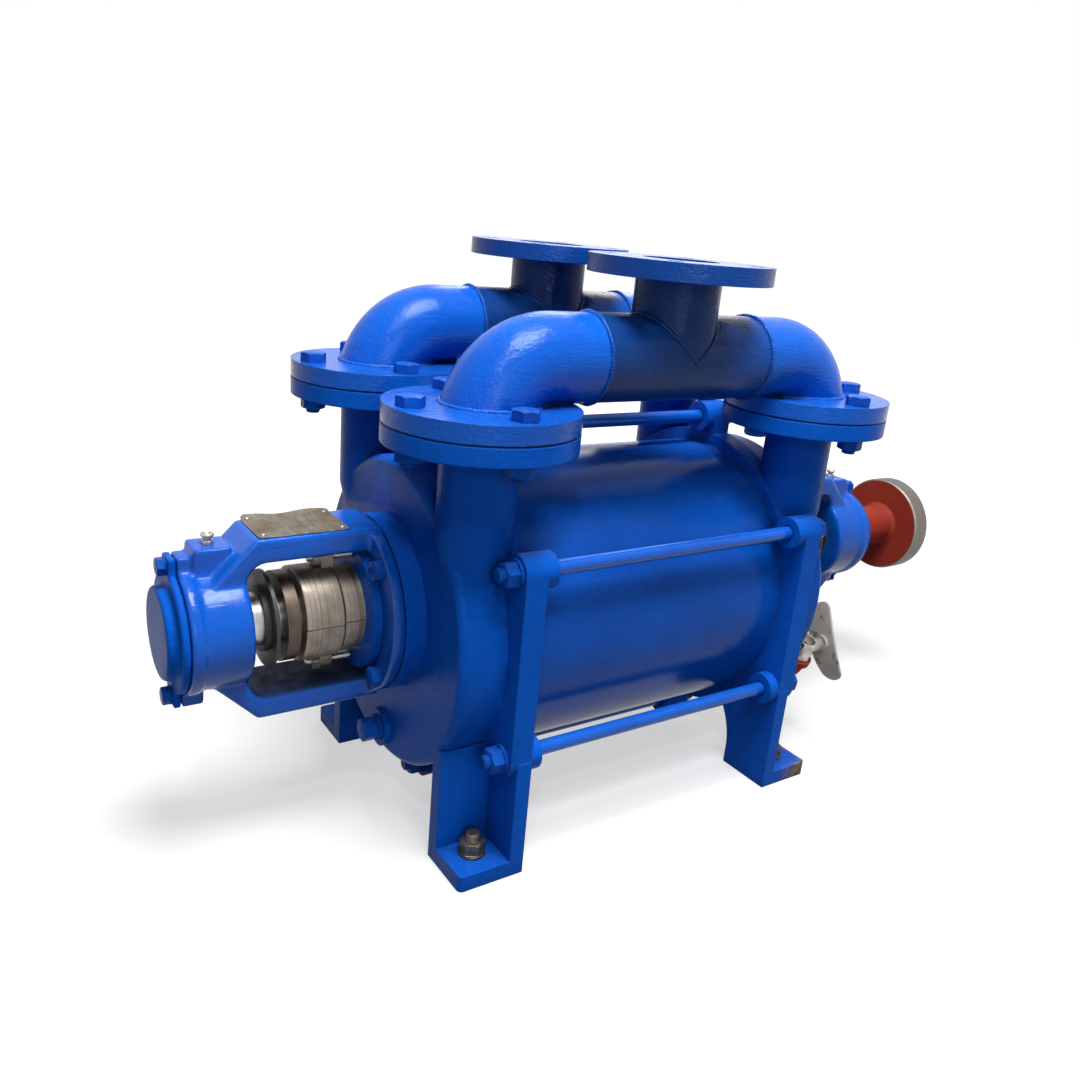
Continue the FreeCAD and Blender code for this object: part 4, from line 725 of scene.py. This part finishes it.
def cylinder(tree, sides, radius, depth, rings=1):
    sizes = {"Vertices": sides, "Radius": radius, "Depth": depth, "Side Segments": rings}
    return addNode(tree, "GeometryNodeMeshCylinder", sizes).outputs["Mesh"]


hexShape = {
    "cornerRatio": 0.57735,             # radius to the corners, over the width across flats
    "topRatio": 0.485, "slope": 1.9,    # the cone that rounds off the corners
    "spare": 0.001,                     # and how far it stands out past both ends
    "threadDepth": 1.1, "tip": 0.0012,  # over the pitch, and the bevel at the stem's ends
}


def makeFastenerTree(shape):
    # hexagon with chamfered corners, its washer, and a threaded stem through both, at every source point
    names = ["Flats", "Height", "Washer", "Thickness", "Stem", "Behind", "Ahead", "Pitch"]
    tree, given = startShapes("hexFastener", names)
    flats, height, washer, thickness, stem, behind, ahead, pitch = (given[name] for name in names)
    prism = cylinder(tree, 6, times(tree, flats, shape["cornerRatio"]), height)
    topRadius = times(tree, flats, shape["topRatio"])
    spare, slope = shape["spare"], shape["slope"]
    cone = addNode(tree, "GeometryNodeMeshCone", {
        "Vertices": 48, "Depth": plus(tree, height, 2 * spare),
        "Radius Top": minus(tree, topRadius, slope * spare),
        "Radius Bottom": plus(tree, topRadius, times(tree, plus(tree, height, spare), slope)),
    }).outputs["Mesh"]
    chamfered = addNode(tree, "GeometryNodeMeshBoolean", operation="INTERSECT", solver="EXACT")
    for solid in (raised(tree, prism, times(tree, height, 0.5)), raised(tree, cone, -spare)):
        tree.links.new(solid, chamfered.inputs[1])
    hexagon = raised(tree, chamfered.outputs[0], thickness)
    washer = cylinder(tree, 40, washer, thickness)
    anyWasher = addNode(tree, "GeometryNodeSwitch", {
        0: mathNode(tree, "GREATER_THAN", thickness, 0.0001),
        "True": raised(tree, washer, times(tree, thickness, 0.5))}, input_type="GEOMETRY").outputs[0]
    # stem: its rings of points move in and out along a helix
    front = plus(tree, plus(tree, thickness, height), ahead)
    length = plus(tree, front, behind)
    rings = mathNode(tree, "CEIL", times(tree, mathNode(tree, "DIVIDE", length, pitch), 4.0))
    stem = cylinder(tree, 16, stem, length, rings)
    stem = raised(tree, stem, times(tree, minus(tree, front, behind), 0.5))
    x, y, z = splitUp(tree, addNode(tree, "GeometryNodeInputPosition").outputs[0])
    turn = mathNode(tree, "DIVIDE", mathNode(tree, "ARCTAN2", y, x), 2 * math.pi)
    wave = mathNode(tree, "PINGPONG", plus(tree, mathNode(tree, "DIVIDE", z, pitch), turn), 0.5)
    depth = times(tree, times(tree, wave, -shape["threadDepth"]), pitch)
    fromEnd = mathNode(tree, "MINIMUM", minus(tree, front, z), plus(tree, z, behind))
    bevel = rangeNode(tree, fromEnd, 0.0, shape["tip"], -shape["tip"], 0.0)
    outward = vectorNode(tree, "NORMALIZE", join(tree, X=x, Y=y))[0]
    threaded = pushed(tree, stem, outward, plus(tree, depth, bevel))
    whole = addNode(tree, "GeometryNodeJoinGeometry")
    for part in (hexagon, anyWasher, threaded):
        tree.links.new(part, whole.inputs[0])
    axis = addNode(tree, "GeometryNodeInputNamedAttribute", {"Name": "axis"}, data_type="FLOAT_VECTOR")
    along = {"Vector": axis.outputs["Attribute"]}
    facing = addNode(tree, "FunctionNodeAlignRotationToVector", along, axis="Z")
    placed = addNode(tree, "GeometryNodeInstanceOnPoints", {
        "Points": given["Source"], "Instance": whole.outputs[0], "Rotation": facing.outputs[0]})
    chance = addNode(tree, "FunctionNodeRandomValue", {"Seed": given["Seed"]}, data_type="FLOAT")
    for socket, limit in zip([s for s in chance.inputs if s.enabled], (0.0, math.pi / 3)):
        socket.default_value = limit
    spin = join(tree, Z=[s for s in chance.outputs if s.enabled][0])
    values = {"Instances": placed.outputs[0], "Rotation": spin}
    return finishShapes(tree, given, addNode(tree, "GeometryNodeRotateInstances", values).outputs[0])


def makeWeldTree():
    # a weld bead along the source's edges, with ripples across it and an unsteady hand
    tree, given = startShapes("weldBead", ["Bead Radius", "Ripple Pitch", "Wander"])
    curve = addNode(tree, "GeometryNodeMeshToCurve", {0: given["Source"]}).outputs[0]
    spacing = {"Curve": curve, "Length": 0.0011}
    fine = addNode(tree, "GeometryNodeResampleCurve", spacing, mode="LENGTH").outputs[0]
    shift = join(tree, X=given["Seed"], Y=given["Seed"], Z=given["Seed"])
    moved = vectorNode(tree, "ADD", addNode(tree, "GeometryNodeInputPosition").outputs[0], shift)[0]
    noise = addNode(tree, "ShaderNodeTexNoise", {"Vector": moved, "Scale": 90.0}).outputs
    drift = vectorNode(tree, "SUBTRACT", noise["Color"], (0.5, 0.5, 0.5))[0]
    loose = pushed(tree, fine, drift, given["Wander"])
    along = addNode(tree, "GeometryNodeSplineParameter").outputs["Length"]
    turns = mathNode(tree, "DIVIDE", times(tree, along, 2 * math.pi), given["Ripple Pitch"])
    swing = mathNode(tree, "SINE", turns)
    width = plus(tree, times(tree, swing, 0.13), times(tree, noise["Fac"], 0.5))
    circle = {"Resolution": 8, "Radius": given["Bead Radius"]}
    profile = addNode(tree, "GeometryNodeCurvePrimitiveCircle", circle).outputs[0]
    bead = addNode(tree, "GeometryNodeCurveToMesh", {
        "Curve": loose, "Profile Curve": profile, "Scale": plus(tree, width, 0.75), "Fill Caps": True})
    return finishShapes(tree, given, bead.outputs[0])


fastenerTree = makeFastenerTree(hexShape)
weldTree = makeWeldTree()


# Turned solids, for tie rods, grease nipples, rivets and the seams of paint

def turnedShell(profile, sides):
    # a closed solid turned about Z from (radius, height) points; a radius of 0 makes a pole
    points, faces, rings = [], [], []
    turns = [2 * math.pi * i / sides for i in range(sides)]
    for radius, height in profile:
        first = len(points)
        for angle in turns[:sides if radius else 1]:
            points.append((radius * math.cos(angle), radius * math.sin(angle), height))
        rings.append(range(first, len(points)))
    for low, high in zip(rings, rings[1:]):
        for i in range(sides):
            corners = ((low, i), (low, i + 1), (high, i + 1), (high, i))
            faces.append(list(dict.fromkeys(ring[index % len(ring)] for ring, index in corners)))
    return points, faces


def turnedPieces(name, profile, places, finishName, sides, instead="", sharpAngle=35.0):
    # the same turned solid at every (point, axis), as one mesh
    points, faces = turnedShell(profile, sides)
    allPoints, allFaces = [], []
    for place, axis in places:
        turn = Vector(axis).to_track_quat("Z", "Y")
        first = len(allPoints)
        allPoints += [(turn @ Vector(p) + Vector(place)) * mm for p in points]
        allFaces += [[first + i for i in face] for face in faces]
    mesh = bpy.data.meshes.new(name)
    mesh.from_pydata(allPoints, [], allFaces)
    mesh.materials.append(finish[finishName])
    addPiece(name, mesh, instead, sharpAngle)


# Bolts, nuts and studs. Names with a capital are inputs of the node tree, in metres. The rest is in mm.

usualFastener = {
    "Seed": 1, "Behind": 0.01, "Ahead": -0.002, "Washer": 0.01, "Thickness": 0.0, "Pitch": 0.002,
}


def treeValues(setup):
    return {name: value for name, value in setup.items() if name[0].isupper()}


def fasteners(name, places, setup, finishName="boltBlueEnamel", instead=""):
    values = {**usualFastener, **treeValues(setup)}
    bakeShapes(name, placesMesh(name, places), fastenerTree, values, finishName, instead)


def atBothEnds(seat, spots):
    # the same points on the faces of both ends, looking outwards
    return [((end * seat, y, z), (end, 0, 0)) for end in (-1, 1) for y, z in spots]


def aboveAndBelow(setup):
    return atBothEnds(setup["seat"], [(0, shaftHeight + lift * setup["offset"]) for lift in (-1, 1)])


flangeBoltSetup = {
    "circle": 75, "seat": 489, "axis": 1, "inboard": False,
    "Flats": 0.024, "Height": 0.01, "Stem": 0.008, "Behind": 0.056, "Seed": 3,
}
fromBelow = {**flangeBoltSetup, "seat": 451, "axis": -1}
flangeNutSetup = {**fromBelow, "Height": 0.013, "Stem": 0.0078, "Behind": 0.001, "Seed": 5}
flangeScrewSetup = {**fromBelow, "inboard": True, "Behind": 0.034, "Seed": 8}


def flangeBoltPlaces(setup):
    spots = []
    for end in (-1, 1):
        for side in (-1, 1):
            for turn in range(4):
                angle = turn * math.pi / 2
                dx, dy = (setup["circle"] * round(part) for part in (math.cos(angle), math.sin(angle)))
                if (end * dx < 0) == setup["inboard"]:
                    place = (end * flangeCentres[0] + dx, side * flangeCentres[1] + dy, setup["seat"])
                    spots.append((place, (0, 0, setup["axis"])))
    return spots


fasteners("flangeBolts", flangeBoltPlaces(flangeBoltSetup), flangeBoltSetup, instead="flange_bolts")
fasteners("flangeNuts", flangeBoltPlaces(flangeNutSetup), flangeNutSetup, instead="flange_nuts")
fasteners("flangeScrews", flangeBoltPlaces(flangeScrewSetup), flangeScrewSetup, instead="flange_screws")

tieSetup = {
    "centre": 235, "circle": 202, "seat": 205, "Flats": 0.024, "Height": 0.013, "Washer": 0.015,
    "Thickness": 0.003, "Stem": 0.008, "Behind": 0.008, "Ahead": 0.006, "Seed": 11,
}


def tiePlaces(setup, ends):
    spots = []
    for index in range(6):
        angle = math.radians(30 + 60 * index)
        y, z = setup["circle"] * math.cos(angle), setup["centre"] + setup["circle"] * math.sin(angle)
        spots += [((end * setup["seat"], y, z), (end, 0, 0)) for end in ends]
    return spots


fasteners("tieNuts", tiePlaces(tieSetup, (-1, 1)), tieSetup, instead="tie_rod_nuts tie_rod_washers")

tieRodSetup = {"radius": 8, "reach": 200, "sides": 32, "bevel": 1}


def makeTieRods(setup):
    radius, reach, bevel = setup["radius"], setup["reach"], setup["bevel"]
    half = [(0, reach), (radius - bevel, reach), (radius, reach - bevel)]
    profile = [(r, -height) for r, height in half] + half[::-1]
    places = [((0, y, z), axis) for (x, y, z), axis in tiePlaces(tieSetup, (1,))]
    turnedPieces("tieRods", profile, places, "tieRodEnamel", setup["sides"], "tie_rods")


makeTieRods(tieRodSetup)

bracketBoltSetup = {
    "seat": 292, "circle": 84, "Flats": 0.019, "Height": 0.008, "Stem": 0.006, "Behind": 0.032,
    "Washer": 0.0112, "Thickness": 0.0012, "Pitch": 0.00175, "Seed": 14,
}


def bracketBoltSpots(circle):
    angles = [math.radians(45 + 90 * turn) for turn in range(4)]
    return [(circle * math.cos(angle), shaftHeight + circle * math.sin(angle)) for angle in angles]


bracketBoltPlaces = atBothEnds(bracketBoltSetup["seat"], bracketBoltSpots(bracketBoltSetup["circle"]))
fasteners("bracketBolts", bracketBoltPlaces, bracketBoltSetup, instead="bracket_bolts")

capBoltSetup = {
    "seat": 486, "offset": 68, "Flats": 0.016, "Height": 0.007, "Stem": 0.005, "Behind": 0.0255,
    "Washer": 0.0095, "Thickness": 0.0012, "Pitch": 0.0015, "Seed": 17,
}
fasteners("capBolts", aboveAndBelow(capBoltSetup), capBoltSetup, instead="cap_bolts")

glandStudSetup = {
    "seat": 335, "offset": 59, "Flats": 0.017, "Height": 0.008, "Stem": 0.005, "Behind": 0.057,
    "Ahead": 0.005, "Pitch": 0.0015, "Seed": 21,
}
fasteners("glandStuds", aboveAndBelow(glandStudSetup), glandStudSetup, "machinedSteel",
          "gland_studs")

plugSetup = {
    "place": (-262, 0, 92), "Flats": 0.024, "Height": 0.016, "Washer": 0.015, "Thickness": 0.004,
    "Stem": 0.0099, "Behind": 0.022, "Pitch": 0.0018, "Seed": 2,
}
fasteners("drainPlug", [(plugSetup["place"], (-1, 0, 0))], plugSetup, instead="drain_plug")

footStudSetup = {
    "places": (224, 162), "seat": 18, "Flats": 0.024, "Height": 0.013, "Washer": 0.015,
    "Thickness": 0.003, "Stem": 0.008, "Behind": 0.0175, "Ahead": 0.009, "Seed": 31,
}


def overCorners(corners, height):
    # a point over each of the four feet or necks, looking up
    x, y = corners
    return [((end * x, side * y, height), (0, 0, 1)) for end in (-1, 1) for side in (-1, 1)]


footStudPlaces = overCorners(footStudSetup["places"], footStudSetup["seat"])
fasteners("footStuds", footStudPlaces, footStudSetup, "oilyStudSteel")
print("fasteners ready")


# Small pieces

nippleSetup = {  # a hexagon under a button head with a hollow top
    "x": 446, "seat": 336, "Flats": 0.0105, "Height": 0.004, "Stem": 0.0028, "Behind": 0.005, "Seed": 41,
    "sides": 32, "sharp": 50.0,
    "profile": [(0, 3.6), (3.0, 3.6), (3.4, 4.6), (3.6, 6.2), (5.0, 6.8), (6.2, 8.0), (6.5, 9.4),
                (6.0, 10.6), (4.9, 10.95), (3.9, 10.5), (3.4, 9.4), (2.2, 8.4), (0, 8.2)],
}


def makeNipples(setup):
    places = [((end * setup["x"], 0, setup["seat"]), (0, 0, 1)) for end in (-1, 1)]
    fasteners("nippleHexagons", places, setup, "weatheredZinc")
    turnedPieces("greaseNipples", setup["profile"], places, "weatheredZinc", setup["sides"],
                 "grease_nipples", setup["sharp"])


makeNipples(nippleSetup)

plateSetup = {  # bare plate on the blind end's upper arm, with a lifted far edge and four rivets
    "from": (-406, -32), "to": (-314, 31), "seat": 346.02, "thickness": 1.0, "cells": (36, 26),
    "lift": 3.0, "liftFrom": 12, "slack": 0.35, "wave": 0.25, "rivetInset": 6, "corner": 4, "rivetSides": 20,
    "rivet": [(0, -0.8), (2.0, -0.8), (2.0, 0.3), (1.8, 0.9), (1.2, 1.4), (0.5, 1.6), (0, 1.65)],
}


def plateLift(setup, x, y):
    past = max(0.0, y - (setup["to"][1] - setup["liftFrom"])) / setup["liftFrom"]
    slack = 1.0 + setup["slack"] * math.sin(x * 0.09)
    return setup["lift"] * past * past * slack + setup["wave"] * (1 + math.sin(x * 0.13 + y * 0.07))


def cornerPull(setup, x, y):
    # how far a point is pulled in so that the corners come out round
    corner = setup["corner"]
    dx = corner - min(x - setup["from"][0], setup["to"][0] - x)
    dy = corner - min(y - setup["from"][1], setup["to"][1] - y)
    if dx <= 0 or dy <= 0:
        return 1.0
    return min(1.0, corner / math.hypot(dx, dy))


def platePoint(setup, x, y, height):
    (x0, y0), (x1, y1), corner = setup["from"], setup["to"], setup["corner"]
    pull = cornerPull(setup, x, y)
    nearX, nearY = min(max(x, x0 + corner), x1 - corner), min(max(y, y0 + corner), y1 - corner)
    x, y = nearX + (x - nearX) * pull, nearY + (y - nearY) * pull
    return at(x, y, setup["seat"] + height + plateLift(setup, x, y))


def makePlate(setup):
    columns, rows = setup["cells"]
    (x0, y0), (x1, y1) = setup["from"], setup["to"]
    work = bmesh.new()
    places = [(x0 + (x1 - x0) * i / columns, y0 + (y1 - y0) * j / rows)
              for i in range(columns + 1) for j in range(rows + 1)]
    low, high = ([work.verts.new(platePoint(setup, x, y, height)) for x, y in places]
                 for height in (0.0, setup["thickness"]))
    for grid, step in ((low, -1), (high, 1)):
        for i in range(columns):
            for j in range(rows):
                corners = ((i, j), (i + 1, j), (i + 1, j + 1), (i, j + 1))[::step]
                work.faces.new([grid[a * (rows + 1) + b] for a, b in corners])
    rim = ([i * (rows + 1) for i in range(columns)] + [columns * (rows + 1) + j for j in range(rows)]
           + [i * (rows + 1) + rows for i in range(columns, 0, -1)] + list(range(rows, 0, -1)))
    for a, b in zip(rim, rim[1:] + rim[:1]):
        work.faces.new([low[a], low[b], high[b], high[a]])
    mesh = bpy.data.meshes.new("barePlate")
    work.to_mesh(mesh)
    work.free()
    mesh.materials.append(finish["bareTinPlate"])
    addPiece("barePlate", mesh)
    inset, top = setup["rivetInset"], setup["seat"] + setup["thickness"]
    places = [((x, y, top + plateLift(setup, x, y)), (0, 0, 1))
              for x in (x0 + inset, x1 - inset) for y in (y0 + inset, y1 - inset)]
    turnedPieces("plateRivets", setup["rivet"], places, "weatheredZinc", setup["rivetSides"],
                 sharpAngle=60.0)


makePlate(plateSetup)

seamSetup = {"radius": 94.3, "inner": 88.0, "from": 469.05, "to": 470.95, "sides": 160, "dip": 0.5}


def makeSeams(setup):
    # paint that bridges the thin gaps between the cover flanges and the manifold flanges
    radius, inner, low, high = (setup[key] for key in ("radius", "inner", "from", "to"))
    hollow = (radius - setup["dip"], (low + high) / 2)
    profile = [(inner, low), (radius, low), hollow, (radius, high), (inner, high), (inner, low)]
    places = overCorners(flangeCentres, 0)
    turnedPieces("flangeSeams", profile, places, "flangeSeamPaint", setup["sides"])


makeSeams(seamSetup)
print("small pieces ready")


# Weld beads on the pipe runs

weldSetup = {
    "pipe": 44.45, "runHeight": 531, "flangeTop": 489, "topFlange": 612, "seams": (-108, 108), "step": 6,
    "elbowCentre": (152, 461), "elbow": 70,
    "Bead Radius": 0.0026, "Ripple Pitch": 0.0034, "Wander": 0.0022, "Seed": 4,
}


def elbowFoot(setup, end, y, turns):
    # the line where an elbow meets its flange, as (points, closed)
    radius, (centreX, centreZ) = setup["pipe"], setup["elbowCentre"]
    rise = setup["flangeTop"] - centreZ
    line = []
    for angle in turns:
        bend = setup["elbow"] + radius * math.cos(angle)
        if bend > rise:
            x = end * (centreX + math.sqrt(bend * bend - rise * rise))
            line.append((x, y + radius * math.sin(angle), setup["flangeTop"]))
    first = min(range(len(line)), key=lambda i: line[i][0] * end)
    return line[first:] + line[:first], len(line) == len(turns)


def weldGuides(setup):
    # the lines of all the welds, as (points, closed)
    radius, run = setup["pipe"], setup["runHeight"]
    turns = [math.radians(angle) for angle in range(0, 360, setup["step"])]
    guides = []
    for y in (-flangeCentres[1], flangeCentres[1]):
        guides += [elbowFoot(setup, end, y, turns) for end in (-1, 1)]
        around = [(radius * math.cos(a), radius * math.sin(a)) for a in turns]
        for x in setup["seams"]:
            guides.append(([(x, y + across, run + rise) for across, rise in around], True))
        guides.append(([(x, y + across, run + abs(x)) for x, across in around], True))
        guides.append(([(x, y + across, setup["topFlange"]) for x, across in around], True))
    return guides


def makeWelds(setup):
    points, edges = [], []
    for line, closed in weldGuides(setup):
        first = len(points)
        points += [at(*p) for p in line]
        edges += [(first + i, first + i + 1) for i in range(len(line) - 1)]
        if closed:
            edges.append((len(points) - 1, first))
    source = bpy.data.meshes.new("weldGuides")
    source.from_pydata(points, edges, [])
    bakeShapes("weldBeads", source, weldTree, treeValues(setup), "pipeBlueEnamel",
               sharpAngle=60.0)


makeWelds(weldSetup)
print("welds ready")


# Floor, backdrop and light

floorLook = {
    "reach": 8.0, "below": 0.0005, "nearEdge": 0.7, "farEdge": 2.2, "nearGlow": 0.55,
    "seenColour": (0.45, 0.45, 0.45), "bounceColour": (0.1, 0.1, 0.11), "rough": 0.8, "specular": 0.1,
}
worldStrength = 0.08
lampSetups = {
    "overhead": {"place": (-0.15, -0.6, 2.4), "aim": (0, 0, 0.3), "size": 0.9, "power": 78},
    "front": {"place": (-0.95, -2.35, 1.1), "aim": (0, 0, 0.3), "size": 0.9, "power": 14},
    "smallKey": {"place": (-1.1, -1.3, 2.2), "aim": (0, 0, 0.5), "size": 0.16, "power": 8.5},
    "rear": {"place": (1.6, 2.0, 1.8), "aim": (0, 0, 0.3), "size": 1.2, "power": 16},
}


def seenDirectly(tree):
    # 1 for the camera and for what metal and glass show
    rays = addNode(tree, "ShaderNodeLightPath").outputs
    mirrored = larger(tree, rays["Is Glossy Ray"], rays["Is Transmission Ray"])
    return larger(tree, rays["Is Camera Ray"], mirrored)


def makeStage(look):
    # plain floor, seen white and keeping the object's shadow
    material, tree, shader = newMaterial("paleFloor")
    seen = seenDirectly(tree)
    away = vectorNode(tree, "LENGTH", objectPoint(tree))["Value"]
    far = rangeNode(tree, away, look["nearEdge"], look["farEdge"])
    glow = rangeNode(tree, far, 0.0, 1.0, look["nearGlow"], 1.0)
    fill(tree, shader, {
        "Base Color": mixColour(tree, seen, look["bounceColour"], look["seenColour"]),
        "Roughness": look["rough"], "Specular IOR Level": look["specular"],
        "Emission Color": (1, 1, 1, 1), "Emission Strength": times(tree, seen, glow)})
    mesh = bpy.data.meshes.new("studioFloor")
    reach = look["reach"]
    mesh.from_pydata([(-reach, -reach, 0), (reach, -reach, 0), (reach, reach, 0), (-reach, reach, 0)], [],
                     [(0, 1, 2, 3)])
    mesh.materials.append(material)
    floor = addObject("studioFloor", mesh)
    floor.location = (0, 0, -look["below"])


def makeWorld(strength):
    world = bpy.data.worlds.new("studioWorld")
    scene.world = world
    world.use_nodes = True
    tree = world.node_tree
    background = next(n for n in tree.nodes if n.type == "BACKGROUND")
    glow = rangeNode(tree, seenDirectly(tree), 0.0, 1.0, strength, 1.0)
    fill(tree, background, {"Color": (1, 1, 1, 1), "Strength": glow})


def makeLamps(setups):
    for name, setup in setups.items():
        data = bpy.data.lights.new(name, "AREA")
        data.shape = "SQUARE"
        data.size = setup["size"]
        data.energy = setup["power"]
        place = Vector(setup["place"])
        turn = (Vector(setup["aim"]) - place).to_track_quat("-Z", "Y").to_matrix().to_4x4()
        addObject(name, data).matrix_world = Matrix.Translation(place) @ turn


makeStage(floorLook)
makeWorld(worldStrength)
makeLamps(lampSetups)
scene.view_settings.view_transform = "Standard"
print("stage and light ready")
